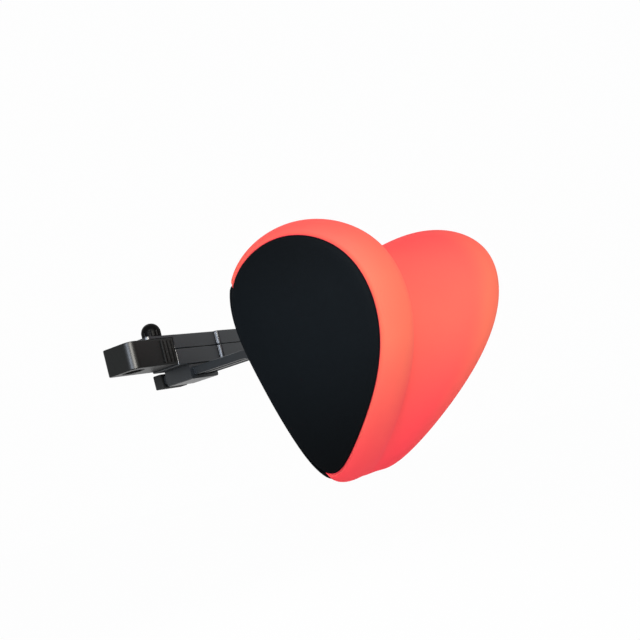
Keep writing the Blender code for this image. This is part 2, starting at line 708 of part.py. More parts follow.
def make_liner(name, x, low, high, slit_side, mats):
    """A rubber sleeve round the post, slit so that it can be slipped on."""
    inner = POST_DIAMETER / 2 + POST_FIT
    outer = inner + LINER_WALL
    slit = math.asin(LINER_SLIT / 2 / outer)
    outline = []
    start = 0 if slit_side > 0 else math.pi
    for radius, order in ((outer, 1), (inner, -1)):
        arc = [start + slit + (2 * math.pi - 2 * slit) * k / ROUND_SIDES for k in range(ROUND_SIDES + 1)]
        outline += [(x + radius * math.cos(a), radius * math.sin(a)) for a in arc[::order]]
    add_object(name, prism(outline, "Z", low, high), mats["rubber"])


def make_jaw(mats):
    """The sliding right collar, with the tenon that runs inside the housing."""
    outer = -HALF_SPACING - COLLAR_OUT
    shoulder = HOUSING_END - CLEAR
    outline = fillet_outline([
        (outer, -CLAMP_FRONT, CORNER_FRONT), (shoulder, -CLAMP_FRONT, CORNER_SMALL),
        (shoulder, CLAMP_REAR, CORNER_SMALL), (outer, CLAMP_REAR, CORNER_REAR),
    ])
    jaw = add_object("jaw", prism(outline, "Z", JAW_BOTTOM, JAW_TOP), mats["black_plastic"])
    soften(jaw)
    half = TENON_WIDTH / 2
    join(jaw, block((shoulder - CORNER_REAR, -half, TENON_BOTTOM),
                    (HOUSING_END + TENON_LENGTH, half, TENON_TOP)), "tenon")
    for rib in range(GRIP_RIBS):
        middle = shoulder - GRIP_RIB_START - GRIP_RIB_PITCH * rib
        low = (middle - GRIP_RIB_WIDTH / 2, -CLAMP_FRONT - GRIP_RIB_HEIGHT, JAW_BOTTOM + GRIP_RIB_MARGIN)
        high = (middle + GRIP_RIB_WIDTH / 2, -CLAMP_FRONT + GRIP_RIB_HEIGHT, JAW_TOP - GRIP_RIB_MARGIN)
        join(jaw, block(low, high), f"grip_rib_{rib + 1}")
    cut(jaw, collar_bore(-HALF_SPACING), "jaw_bore")
    stud_hole = STUD_DIAMETER / 2 + CLEAR
    cut(jaw, rod("Z", (STUD_AT, 0), stud_hole, STUD_END - 1 * MM, JAW_TOP + 1 * MM, SMALL_SIDES),
        "stud_hole")
    room = NUT_WIDTH / 2 + CLEAR
    cut(jaw, block((STUD_AT - room, -room, NUT_AT - CLEAR),
                   (STUD_AT + room, CLAMP_REAR + 1 * MM, NUT_AT + NUT_HEIGHT + CLEAR)), "nut_slot")
    width = NUT_WIDTH / 2
    nut = add_object("stud_nut", block((STUD_AT - width, -width, NUT_AT),
                                       (STUD_AT + width, width, NUT_AT + NUT_HEIGHT)), mats["steel"])
    cut(nut, rod("Z", (STUD_AT, 0), stud_hole, NUT_AT - CLEAR, NUT_AT + NUT_HEIGHT + CLEAR, SMALL_SIDES),
        "stud_nut_hole")
    make_liner("post_liner_right", -HALF_SPACING, JAW_BOTTOM, JAW_TOP, 1, mats)


def housing_outline():
    """The housing seen from above, with its front stepping forward at the left collar."""
    outer = HALF_SPACING + COLLAR_OUT
    proud = CLAMP_FRONT + FRONT_STEP
    ramp = FRONT_STEP_RUN / 2
    return fillet_outline([
        (HOUSING_END, -CLAMP_FRONT, CORNER_SMALL),
        (FRONT_STEP_AT - ramp, -CLAMP_FRONT, FRONT_STEP_ROUND),
        (FRONT_STEP_AT + ramp, -proud, FRONT_STEP_ROUND),
        (outer, -proud, CORNER_FRONT),
        (outer, CLAMP_REAR, CORNER_REAR),
        (HOUSING_END, CLAMP_REAR, CORNER_SMALL),
    ], FINE_ARC)


def make_housing(mats):
    """Lower shell with the arm's guide, upper shell with the strap over the jaw, and their screws."""
    outline = housing_outline()
    lower = add_object("housing_lower", prism(outline, "Z", 0, SHELL_SPLIT - CLEAR / 2),
                       mats["black_plastic"])
    upper = add_object("housing_upper", prism(outline, "Z", SHELL_SPLIT + CLEAR / 2, HOUSING_HEIGHT),
                       mats["black_plastic"])
    for shell in (lower, upper):
        soften(shell)

    arm_side = ARM_WIDTH / 2 + CLEAR
    arm_bottom = ARM_TOP - ARM_THICK - CLEAR
    guide = fillet_outline([(-arm_side - GUIDE_WALL, arm_bottom - GUIDE_FLOOR, GUIDE_CORNER),
                            (arm_side + GUIDE_WALL, arm_bottom - GUIDE_FLOOR, GUIDE_CORNER),
                            (arm_side + GUIDE_WALL, GUIDE_ROOT, 0),
                            (-arm_side - GUIDE_WALL, GUIDE_ROOT, 0)], COARSE_ARC)
    join(lower, prism(guide, "Y", GUIDE_INSET - CLAMP_FRONT, CLAMP_REAR - GUIDE_INSET), "guide")
    cut(lower, block((-arm_side, -2 * CLAMP_FRONT, arm_bottom), (arm_side, 2 * CLAMP_REAR, ARM_TOP + CLEAR)),
        "arm_channel")
    pad = PAD_SIZE / 2
    cut(lower, block((-pad - CLEAR, -pad - CLEAR, ARM_TOP),
                     (pad + CLEAR, pad + CLEAR, ARM_TOP + CLEAR + PAD_THICK + CLEAR)), "pad_pocket")
    add_object("brake_pad", block((-pad, -pad, ARM_TOP + CLEAR), (pad, pad, ARM_TOP + CLEAR + PAD_THICK)),
               mats["rubber"])

    front, rear = STRAP_INSET - CLAMP_FRONT, CLAMP_REAR - STRAP_INSET
    strap_end = STRAP_SHORT - HALF_SPACING
    strap = fillet_outline([(strap_end, front, STRAP_CORNER),
                            (HOUSING_END + CORNER_REAR, front, 0),
                            (HOUSING_END + CORNER_REAR, rear, 0),
                            (strap_end, rear, STRAP_CORNER)])
    join(upper, prism(strap, "Z", JAW_TOP + CLEAR, HOUSING_HEIGHT - STRAP_INSET), "strap")
    slot = STUD_DIAMETER / 2 + CLEAR
    slot_outline = fillet_outline([(STUD_AT - JAW_TRAVEL - slot, -slot, slot * 0.98),
                                   (STUD_AT + slot, -slot, slot * 0.98),
                                   (STUD_AT + slot, slot, slot * 0.98),
                                   (STUD_AT - JAW_TRAVEL - slot, slot, slot * 0.98)], COARSE_ARC)
    cut(upper, prism(slot_outline, "Z", JAW_TOP, HOUSING_HEIGHT + 1 * MM), "strap_slot")

    half = TENON_WIDTH / 2 + CLEAR
    tenon_room = ((HOUSING_END - 1 * MM, -half, TENON_BOTTOM - CLEAR),
                  (HOUSING_END + TENON_LENGTH + CLEAR, half, TENON_TOP + CLEAR))
    for shell in (lower, upper):
        cut(shell, block(*tenon_room), shell.name + "_tenon_room")
        cut(shell, collar_bore(HALF_SPACING), shell.name + "_bore")

    head = SHELL_SCREW_HEAD / 2
    shank = SHELL_SCREW_DIAMETER / 2
    reach = SHELL_SPLIT + SHELL_SCREW_REACH
    seat = SHELL_SCREW_HEAD_HEIGHT + CLEAR
    for number, place in enumerate(SHELL_SCREWS, start=1):
        cut(lower, rod("Z", place, head + CLEAR, -1 * MM, seat, SMALL_SIDES), f"screw_seat_{number}")
        cut(lower, rod("Z", place, shank + CLEAR, -1 * MM, HOUSING_HEIGHT, SMALL_SIDES),
            f"lower_screw_hole_{number}")
        cut(upper, rod("Z", place, shank + CLEAR, 0, reach + CLEAR, SMALL_SIDES),
            f"upper_screw_hole_{number}")
        profile = [(0, CLEAR), (head * 0.8, CLEAR), (head, SHELL_SCREW_HEAD_HEIGHT * 0.5),
                   (head, seat - CLEAR), (shank, seat - CLEAR), (shank, reach), (0, reach)]
        add_object(f"housing_screw_{number}", turned(profile, "Z", place, SMALL_SIDES), mats["steel"])
    make_liner("post_liner_left", HALF_SPACING, 0, HOUSING_HEIGHT, -1, mats)


def make_knob(mats):
    """The domed lock knob with its stud and washer."""
    centre = (STUD_AT, 0)
    washer_low = HOUSING_HEIGHT - STRAP_INSET + CLEAR
    washer_high = washer_low + WASHER_THICK
    stud = STUD_DIAMETER / 2
    washer = add_object("knob_washer", rod("Z", centre, WASHER_DIAMETER / 2, washer_low, washer_high),
                        mats["steel"])
    cut(washer, rod("Z", centre, stud + CLEAR, washer_low - CLEAR, washer_high + CLEAR, SMALL_SIDES),
        "knob_washer_hole")
    base = washer_high + CLEAR
    radius = KNOB_DIAMETER / 2
    profile = [(0, base), (radius - KNOB_BASE_INSET, base), (radius, base + KNOB_BASE_RISE)]
    waist = base + KNOB_HEIGHT - radius
    for step in range(KNOB_DOME_STEPS):
        angle = math.pi / 2 * step / KNOB_DOME_STEPS
        profile.append((radius * math.cos(angle), waist + radius * math.sin(angle)))
    profile.append((0, base + KNOB_HEIGHT))
    knob = add_object("lock_knob", turned(profile, "Z", centre, KNOB_FLUTES * 4), mats["black_plastic"])
    for flute in range(KNOB_FLUTES):
        angle = 2 * math.pi * flute / KNOB_FLUTES
        out = radius + FLUTE_OUT
        place = (centre[0] + out * math.cos(angle), out * math.sin(angle))
        groove = rod("Z", place, FLUTE_RADIUS, base - CLEAR, waist + FLUTE_RISE, FLUTE_SIDES)
        cut(knob, groove, f"flute_{flute + 1}")
    top = base + STUD_IN_KNOB
    cut(knob, rod("Z", centre, stud + CLEAR, base - CLEAR, top + CLEAR, SMALL_SIDES), "stud_socket")
    add_object("knob_stud", rod("Z", centre, stud, STUD_END, top, SMALL_SIDES), mats["steel"])


def make_zip(mats):
    """A zip along the back panel, its slider at the left end, and the pull on the slider."""
    face = BACK_Y + CLEAR
    z = ZIP_RISE - PILLOW_DROP
    right, left = -ZIP_LENGTH / 2, ZIP_LENGTH / 2
    low, high = z - ZIP_WIDTH / 2, z + ZIP_WIDTH / 2
    chain_outline = fillet_outline([(right, low, ZIP_CORNER), (left, low, ZIP_CORNER),
                                    (left, high, ZIP_CORNER), (right, high, ZIP_CORNER)], ZIP_ARC)
    add_object("zip_chain", prism(chain_outline, "Y", face, face + ZIP_THICK), mats["black_cloth"])
    base = face + ZIP_THICK + CLEAR
    end = left - SLIDER_IN
    half = SLIDER_WIDTH / 2
    tail = half * 0.7
    body = fillet_outline([(end - SLIDER_LENGTH, z - half, SLIDER_MOUTH_CORNER),
                           (end, z - tail, SLIDER_TAIL_CORNER), (end, z + tail, SLIDER_TAIL_CORNER),
                           (end - SLIDER_LENGTH, z + half, SLIDER_MOUTH_CORNER)], COARSE_ARC)
    slider = add_object("zip_slider", prism(body, "Y", base, base + SLIDER_THICK), mats["steel"])
    pin = base + SLIDER_THICK + SLIDER_BRIDGE
    middle = end - SLIDER_LENGTH / 2
    out, inside = BAIL_LENGTH / 2, BAIL_LENGTH / 2 - BAIL_WALL
    crown = pin + BAIL_ROOM
    arch = [(middle - out, base + SLIDER_THICK / 2), (middle - out, crown + BAIL_WALL),
            (middle + out, crown + BAIL_WALL), (middle + out, base + SLIDER_THICK / 2)]
    join(slider, prism(arch, "Z", z - BAIL_WIDTH / 2, z + BAIL_WIDTH / 2), "bail")
    window = [(middle - inside, base + SLIDER_THICK), (middle - inside, crown),
              (middle + inside, crown), (middle + inside, base + SLIDER_THICK)]
    cut(slider, prism(window, "Z", z - BAIL_WIDTH, z + BAIL_WIDTH), "bail_window")
    lift = base + SLIDER_THICK + CLEAR
    wide = PULL_WIDTH / 2
    bar = PULL_THICK / 2
    pull_outline = fillet_outline([(middle - bar, z - wide, bar),
                                   (middle - bar, z + wide, bar),
                                   (middle + PULL_LENGTH, z + wide, PULL_CORNER),
                                   (middle + PULL_LENGTH, z - wide, PULL_CORNER)], ZIP_ARC)
    pull = add_object("zip_pull", prism(pull_outline, "Y", lift, lift + PULL_THICK), mats["steel"])
    eye = PULL_EYE_WIDTH / 2
    hole = block((middle + bar, lift - CLEAR, z - eye),
                 (middle + bar + PULL_EYE_LENGTH, lift + PULL_THICK + CLEAR, z + eye))
    cut(pull, hole, "pull_window")


def main():
    clear_scene()
    mats = {
        "coral": make_material("coral_knit", (1.0, 0.12, 0.09), 0.75),
        "black_cloth": make_material("black_knit", (0.009, 0.012, 0.013), 0.8),
        "foam": make_material("memory_foam", (0.75, 0.68, 0.5), 0.9),
        "black_plastic": make_material("moulded_plastic", (0.02, 0.026, 0.03), 0.35),
        "grey_plastic": make_material("inner_plastic", (0.1, 0.1, 0.1), 0.5),
        "nylon": make_material("washer_nylon", (0.6, 0.6, 0.58), 0.5),
        "rubber": make_material("liner_rubber", (0.012, 0.012, 0.012), 0.85),
        "steel": make_material("plated_steel", (0.5, 0.5, 0.52), 0.3, 1.0),
    }
    foam, back_panel = make_pillow(mats)
    make_bracket(mats, foam, back_panel)
    make_pivot(mats)
    make_arm(mats)
    make_housing(mats)
    make_jaw(mats)
    make_knob(mats)
    make_zip(mats)


main()
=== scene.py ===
# %% [markdown]
# # A car neck pillow on a post clamp
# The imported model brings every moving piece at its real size. This script dresses it: the
# pillow gets its sewn cover, the clamp its moulded plastic, the zip its teeth and the screws
# their cross recesses. Everything is in metres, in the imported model's frame: +Z up along the
# clamp's bores, -Y forward to the neck recess, and -X to the sliding collar.

# %% Load the frame
import json
import math

import bmesh
import bpy
import numpy as np
from mathutils import Matrix, Vector


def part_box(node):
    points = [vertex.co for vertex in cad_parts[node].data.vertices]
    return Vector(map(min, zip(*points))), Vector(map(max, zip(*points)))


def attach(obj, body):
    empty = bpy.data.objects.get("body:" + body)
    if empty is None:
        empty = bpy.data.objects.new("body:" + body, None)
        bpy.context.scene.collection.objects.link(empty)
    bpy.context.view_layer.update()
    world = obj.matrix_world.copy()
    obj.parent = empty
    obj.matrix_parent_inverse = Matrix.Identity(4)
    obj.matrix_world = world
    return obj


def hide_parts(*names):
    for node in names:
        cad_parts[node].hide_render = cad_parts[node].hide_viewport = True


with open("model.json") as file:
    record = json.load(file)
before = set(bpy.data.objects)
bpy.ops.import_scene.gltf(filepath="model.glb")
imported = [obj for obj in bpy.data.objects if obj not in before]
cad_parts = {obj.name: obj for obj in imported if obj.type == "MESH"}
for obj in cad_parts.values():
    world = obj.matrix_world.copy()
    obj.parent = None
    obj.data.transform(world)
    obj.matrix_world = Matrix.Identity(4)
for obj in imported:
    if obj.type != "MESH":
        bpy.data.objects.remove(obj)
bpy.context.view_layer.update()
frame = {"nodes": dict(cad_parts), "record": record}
MM = 0.001

# %% [markdown]
# ## Helpers for pieces
# A piece here is a grid of points worked out with numpy and joined by faces in one call.
# That keeps each shape a formula that can be read and changed, and it is quick even with
# a hundred thousand faces. Modelling by hand would give the same look, but not the sizes.


# %% Mesh helpers
SHARP_ABOVE = 50                   # degrees: edges sharper than this stay sharp on the drawn pieces


def grid_quads(rows, columns, closed=False, start=0):
    """Faces between the points of a grid stored row by row; closed joins the last column to the first."""
    r, c = np.meshgrid(np.arange(rows - 1), np.arange(columns if closed else columns - 1), indexing="ij")
    here, below, after = r * columns, (r + 1) * columns, (c + 1) % columns
    return np.stack([here + c, here + after, below + after, below + c], -1).reshape(-1, 4) + start


def belt(first, second):
    """Quads between two closed rings of points, given by their numbers."""
    return np.stack([first, np.roll(first, -1), np.roll(second, -1), second], 1)


def fan(ring, pole):
    """Triangles from a closed ring of points to one more point."""
    return np.stack([ring, np.roll(ring, -1), np.full(len(ring), pole)], 1)


def shell_faces(rows, columns):
    """Faces of a grid whose rows are rings, closed by two poles that are numbered after the grid."""
    count = rows * columns
    ring = np.arange(columns)
    start, end = fan(ring, count)[:, [1, 0, 2]], fan(ring + count - columns, count + 1)
    return grid_quads(rows, columns, closed=True).tolist() + start.tolist() + end.tolist()


def placed(name, data):
    """A new object for a mesh, a lamp or a camera, linked to the scene."""
    thing = bpy.data.objects.new(name, data)
    bpy.context.scene.collection.objects.link(thing)
    return thing


def new_piece(name, points, faces, material, body, slot, uv=None, values=None):
    """A mesh object at the origin from points and faces, with its finish and its body; slot is not used."""
    mesh = bpy.data.meshes.new(name)
    mesh.from_pydata(np.asarray(points).reshape(-1, 3), [], [list(face) for face in faces])
    corner_points = np.zeros(len(mesh.loops), np.int32)
    mesh.loops.foreach_get("vertex_index", corner_points)
    if uv is not None:
        layer = mesh.uv_layers.new(name="cloth")
        layer.uv.foreach_set("vector", np.asarray(uv, np.float32).reshape(-1, 2)[corner_points].ravel())
    for label, numbers in (values or {}).items():
        attribute = mesh.attributes.new(label, "FLOAT", "POINT")
        attribute.data.foreach_set("value", np.asarray(numbers, np.float32).ravel())
    mesh.validate()
    mesh.shade_smooth()
    mesh.set_sharp_from_angle(angle=math.radians(SHARP_ABOVE))
    mesh.materials.append(material)
    piece = placed(name, mesh)
    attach(piece, body)
    print(f"{name}: {len(mesh.vertices)} points, {len(mesh.polygons)} faces")
    return piece


# %% [markdown]
# ## Helpers for finishes
# Colours are written as they look on a screen and turned to linear light by one function.
# One function adds a node with its settings and its links, so that a material reads as a
# list of steps from the surface's own coordinates to the shader.


# %% Material helpers
def linear(hex_colour):
    """An sRGB hex colour as linear red, green, blue and alpha."""
    levels = np.array([int(hex_colour[k:k + 2], 16) for k in (1, 3, 5)]) / 255
    steps = np.where(levels <= 0.04045, levels / 12.92, ((levels + 0.055) / 1.055) ** 2.4)
    return (*steps.tolist(), 1.0)


def add(tree, kind, settings=None, **links):
    """Adds a node, sets its properties and plugs values or other nodes' outputs into its sockets."""
    node = tree.nodes.new(kind)
    for key, value in (settings or {}).items():
        setattr(node, key, value)
    for key, value in links.items():
        socket = node.inputs[int(key[1:]) if key[1:].isdigit() else key.replace("_", " ")]
        if isinstance(value, bpy.types.NodeSocket):
            tree.links.new(value, socket)
        else:
            socket.default_value = value
    return node


def finish_of(name, colour, roughness, **sockets):
    """A Principled material: its tree and its shader are returned with it."""
    material = bpy.data.materials.new(name)
    material.use_nodes = True
    tree = material.node_tree
    shader = tree.nodes["Principled BSDF"]
    shader.inputs["Base Color"].default_value = linear(colour)
    shader.inputs["Roughness"].default_value = roughness
    for key, value in sockets.items():
        shader.inputs[key.replace("_", " ")].default_value = value
    return material, tree, shader


# %% [markdown]
# ## The pillow's skin
# The pillow is moulded foam in a tight knit cover, so its skin is one smooth surface. It could
# be sculpted, but its seams have to fall where the pattern cutter put them. So it is worked
# out: one lobe's side outline is a closed curve, and each point of it carries a rib across the
# pillow, from the middle of one side panel over both ridges to the other. The side seams follow
# the outline a little inside it, closer to it at the lower back corner.

# %% The pillow's sizes
CLEAR = 0.3 * MM                   # gap left between pieces that touch
CLOTH = 2.0 * MM                   # cover cloth with its bonded lining
PILLOW_HEIGHT = 187.5 * MM
PILLOW_DEPTH = 117.5 * MM
BACK_Y = -132.5 * MM               # the pillow's flat back
PILLOW_DROP = 129 * MM             # clamp underside down to the pillow's lowest point
CENTRE_DEPTH = 84 * MM             # depth at the neck recess
CENTRE_HEIGHT = 170.5 * MM
RIDGE = (36 * MM, 174 * MM, 0.70, 5 * MM)   # lobe ridges apart: bottom, top, growth, shoulder
SEAM = (74 * MM, 271 * MM, 0.66, 7 * MM)    # side seams apart, in the same way
SHOULDER_POWER = 6                 # how late the shoulder sets in towards the top
SEAM_INSET = (0.08, 0.12)          # the seam's outline is smaller than the lobe's: depth, height
CORNER_EASE = 0.30                 # how much less it is at the lower back corner
CORNER_REACH = 0.5                 # how far along the outline that goes, in stations
BOTTOM_REACH = 0.9                 # the same for the stretch in which the two lobes run together
BOTTOM_PASSES = 70                 # how often that stretch is evened out across the pillow
PANEL_CENTRE = (0.45, 0.555)       # a side panel's middle: share of the depth, share of the height
SIDE_DOME = 10 * MM
LOBE_OUTLINE = (                   # share of the depth, share of the height
    (0.07, 0.02), (0.53, 0.18), (0.97, 0.54), (0.96, 0.84),
    (0.58, 0.99), (0.13, 0.89), (-0.02, 0.60), (-0.02, 0.21))
BACK_SEAMS = (5.1, 7.87)           # where the back panel starts and ends, counted along the outline
PANEL_RINGS = (1, 0.8, 0.6, 0.4, 0.2, 0)    # a side panel's rings: 1 is its seam, 0 its middle
BACK_BLEND = 1.2 * MM              # how softly the skin meets the flat back

# %% How finely the skin is drawn
OUTLINE_STEPS = 40                 # columns between two of the outline's points
BAND_STEPS = 48                    # rows from the middle to a side seam
PANEL_STEPS = 36                   # rows from a side seam to the panel's middle
BAND_CROWDING = 1.7                # above 1, rows crowd towards the seam, where the cloth rolls in
PANEL_CROWDING = 1.5


# %% Skin formula
def spline(knots, values, at, closed=False):
    """Cubic spline through rows of values at the knots, natural at its ends or closed on itself.

    Each stretch is (bend0 left^3 + bend1 along^3) / 6 width plus the straight line that
    passes through its two ends, and one linear system makes the slopes meet at the knots.
    """
    knots, values = np.asarray(knots, float), np.asarray(values, float)
    flat = values.reshape(len(values), -1)
    gaps = np.diff(knots)
    slopes = np.diff(flat, axis=0) / gaps[:, None]
    count = len(gaps) if closed else len(knots)
    system, right = np.eye(count), np.zeros((count, flat.shape[1]))
    for k in range(0 if closed else 1, count if closed else count - 1):
        row = np.zeros(count)
        np.add.at(row, [k - 1, k, (k + 1) % count], [gaps[k - 1], 2 * (gaps[k - 1] + gaps[k]), gaps[k]])
        system[k], right[k] = row, 6 * (slopes[k] - slopes[k - 1])
    bend = np.linalg.solve(system, right)
    bend = np.vstack([bend, bend[:1]]) if closed else bend
    cell = np.clip(np.searchsorted(knots, at, side="right") - 1, 0, len(gaps) - 1)
    width, along = gaps[cell][:, None], (at - knots[cell])[:, None]
    left = width - along
    result = (bend[cell] * left ** 3 + bend[cell + 1] * along ** 3) / (6 * width)
    result += (flat[cell] / width - bend[cell] * width / 6) * left
    result += (flat[cell + 1] / width - bend[cell + 1] * width / 6) * along
    return result.reshape((len(at),) + values.shape[1:])


def spread(height, bottom, top, power, shoulder):
    """Half a width: grows with the height's share to a power, less a shoulder near the top."""
    share = np.clip(height / PILLOW_HEIGHT, 0, 1)
    return (bottom + (top - bottom) * share ** power) / 2 - shoulder * share ** SHOULDER_POWER


def near_corner(stations, reach):
    """A bell curve of the distance along the outline to its lower back corner, in stations."""
    return np.exp(-(np.minimum(stations, len(LOBE_OUTLINE) - stations) / reach) ** 2)


def skin_ribs(stations):
    """The places that each rib passes through, from the right panel's middle to the left one's.

    On each half they are the panel's middle, five rings out to its seam, and the ridge, with
    the pillow's own middle between the two halves.
    """
    outline = np.array(LOBE_OUTLINE + LOBE_OUTLINE[:1]) * (PILLOW_DEPTH, PILLOW_HEIGHT)
    chords = np.sqrt(np.linalg.norm(np.diff(outline, axis=0), axis=1))
    knots = np.concatenate([[0], np.cumsum(chords)])
    at = np.interp(stations % len(LOBE_OUTLINE), range(len(knots)), knots)
    lobe = spline(knots, outline, at, closed=True)
    depth, height = lobe.T
    centre = np.stack([0 * depth, depth * CENTRE_DEPTH / PILLOW_DEPTH,
                       height * CENTRE_HEIGHT / PILLOW_HEIGHT], 1)
    middle = np.array(PANEL_CENTRE) * (PILLOW_DEPTH, PILLOW_HEIGHT)
    ease = 1 - CORNER_EASE * near_corner(stations, CORNER_REACH)[:, None]
    inset = middle + (lobe - middle) * (1 - np.array(SEAM_INSET) * ease)
    heart = inset.mean(axis=0)
    side = [np.stack([spread(height, *RIDGE), depth, height], 1)]
    for share in PANEL_RINGS:
        ring = heart + (inset - heart) * share
        side.append(np.stack([spread(ring[:, 1], *SEAM) + SIDE_DOME * (1 - share ** 2), *ring.T], 1))
    return np.stack([rib * (-1, 1, 1) for rib in reversed(side)] + [centre] + side)


def skin_grid():
    """Points on the skin: rows from the right panel's middle to the left one's, columns round the outline.

    Near the pillow's bottom each row's depth and height moves towards the mean of its neighbours,
    again and again, which evens out the waves between seams and ridges.
    """
    stations = np.arange(len(LOBE_OUTLINE) * OUTLINE_STEPS) / OUTLINE_STEPS
    ribs = skin_ribs(stations)
    knots = np.concatenate([[0], np.cumsum(np.linalg.norm(np.diff(ribs, axis=0), axis=2).mean(axis=1))])
    half = len(ribs) // 2          # the ridge and then the seam follow the pillow's middle
    middle, seam, pole = knots[half], knots[half + 2], knots[-1]
    band = middle + (seam - middle) * (1 - np.linspace(1, 0, BAND_STEPS + 1) ** BAND_CROWDING)
    panel = seam + (pole - seam) * np.linspace(0, 1, PANEL_STEPS + 1)[1:] ** PANEL_CROWDING
    left_half = np.concatenate([band, panel])
    grid = spline(knots, ribs, np.concatenate([2 * middle - left_half[:0:-1], left_half]))
    share = near_corner(stations, BOTTOM_REACH)[:, None] / 2
    rows = grid[PANEL_STEPS:-PANEL_STEPS, :, 1:]
    for _ in range(BOTTOM_PASSES):
        rows[1:-1] += share * ((rows[:-2] + rows[2:]) / 2 - rows[1:-1])
    depth = (grid[..., 1] + np.sqrt(grid[..., 1] ** 2 + BACK_BLEND ** 2)) / 2
    return np.stack([grid[..., 0], BACK_Y - depth, grid[..., 2] - PILLOW_DROP], axis=2)


def skin_normals(grid):
    """Unit normals out of the pillow: the cross product of the grid's two directions."""
    normal = np.cross(np.roll(grid, -1, axis=1) - np.roll(grid, 1, axis=1), np.gradient(grid, axis=0))
    normal[0], normal[-1] = (-1, 0, 0), (1, 0, 0)
    normal /= np.linalg.norm(normal, axis=2, keepdims=True)
    middle = len(grid) // 2
    if normal[middle, np.argmax(grid[middle, :, 2]), 2] < 0:
        normal[1:-1] *= -1
    return normal


skin = skin_grid()
normals = skin_normals(skin)
ROWS, COLUMNS = skin.shape[:2]
LOW, HIGH = PANEL_STEPS, ROWS - 1 - PANEL_STEPS
FIRST = round(BACK_SEAMS[1] * OUTLINE_STEPS) - COLUMNS
LAST = round(BACK_SEAMS[0] * OUTLINE_STEPS)
print("skin from", skin.min(axis=(0, 1)).round(3), "to", skin.max(axis=(0, 1)).round(3))

# %% [markdown]
# ## Swelling between the seams
# The cover is sewn a little small, so the foam pushes each panel out between its seams. A
# cloth simulation finds that swelling: a coarse copy of the skin is pinned along its seams
# and blown up, and what each point moves is added to the fine skin. The move is capped,
# because a foam core, unlike air, stops the cloth after a millimetre or two. The back panel
# stays flat, held by the arm's bracket and its backing plate.

# %% Swelling settings
SWELL_ROWS = 4                     # the coarse copy takes each fourth row and column
SWELL_FRAMES = 20
SWELL_PRESSURE = 4.0
SWELL_STIFFNESS = 40
SWELL_CAP = 1.3 * MM


# %% Swelling by cloth simulation
def swell():
    """How far each point of the skin moves out along its normal, from a pinned, pressed cloth."""
    rows = np.arange(0, ROWS, SWELL_ROWS)
    columns = np.arange(0, COLUMNS, SWELL_ROWS)
    coarse = skin[rows][:, columns]
    points = coarse.reshape(-1, 3)
    mesh = bpy.data.meshes.new("swell_form")
    mesh.from_pydata(points, [], grid_quads(len(rows), len(columns), closed=True).tolist())
    form = placed("swell_form", mesh)
    seam_row = np.isin(rows, (LOW, HIGH, 0, ROWS - 1))[:, None] | np.zeros(len(columns), bool)
    band = (rows >= LOW) & (rows <= HIGH)
    seam_column = np.isin(columns, (FIRST % COLUMNS, LAST))
    pinned = np.flatnonzero((seam_row | (band[:, None] & seam_column[None, :])).ravel())
    form.vertex_groups.new(name="seams").add(pinned.tolist(), 1.0, "REPLACE")
    cloth = form.modifiers.new("cloth", "CLOTH").settings
    cloth.vertex_group_mass = "seams"
    cloth.use_pressure = True
    cloth.uniform_pressure_force = SWELL_PRESSURE
    cloth.tension_stiffness = cloth.compression_stiffness = SWELL_STIFFNESS
    cloth.effector_weights.gravity = 0
    scene = bpy.context.scene
    for step in range(1, SWELL_FRAMES + 1):
        scene.frame_set(step)
    shaped = form.evaluated_get(bpy.context.evaluated_depsgraph_get()).to_mesh()
    moved = np.zeros(len(points) * 3, np.float32)
    shaped.vertices.foreach_get("co", moved)
    scene.frame_set(1)
    bpy.data.objects.remove(form, do_unlink=True)
    out = ((moved.reshape(-1, 3) - points) * normals[rows][:, columns].reshape(-1, 3)).sum(axis=1)
    out = SWELL_CAP * np.tanh(np.maximum(out, 0) / SWELL_CAP).reshape(coarse.shape[:2])
    out[np.ix_(band, columns >= LAST)] = 0
    wide = np.concatenate([out, out[:, :1]], axis=1)
    wide = np.stack([np.interp(np.arange(COLUMNS), np.append(columns, COLUMNS), row) for row in wide])
    return np.stack([np.interp(np.arange(ROWS), rows, column) for column in wide.T], axis=1)


swelling = swell()
print(f"swelling up to {swelling.max() / MM:.2f} mm")

# %% [markdown]
# ## Seams
# A panel is sewn face to face with its neighbour and turned out, so both roll in at the seam
# and leave a narrow groove. The skin dips there by a bell curve of the distance to the seam,
# measured along the skin, which a bevel could not do on a surface that thin.

# %% Seam groove
SEAM_DIP = 1.5 * MM
SEAM_ROLL = 1.9 * MM               # how far from the seam the cloth rolls in
FAR = 1.0                          # metres, more than any distance on the skin


def arc(grid, axis):
    """Distance along the grid from its first row or column."""
    steps = np.linalg.norm(np.diff(grid, axis=axis), axis=2)
    start = [(0, 0), (0, 0)]
    start[axis] = (1, 0)
    return np.cumsum(np.pad(steps, start), axis=axis)


def seam_distance():
    """Distance along the skin to the nearest seam, in metres."""
    across = arc(skin, 0)
    side = np.minimum(abs(across - across[LOW]), abs(across - across[HIGH]))
    around = arc(np.concatenate([skin, skin[:, :1]], axis=1), 1)
    length = around[:, -1:]
    around = around[:, :-1]
    back = np.full(around.shape, FAR)
    for column in (FIRST % COLUMNS, LAST):
        gap = abs(around - around[:, column:column + 1])
        back = np.minimum(back, np.minimum(gap, length - gap))
    back[:LOW] = back[HIGH + 1:] = FAR
    return np.minimum(side, back)


seam_gap = seam_distance()
dip = SEAM_DIP * np.exp(-(seam_gap / SEAM_ROLL) ** 2)
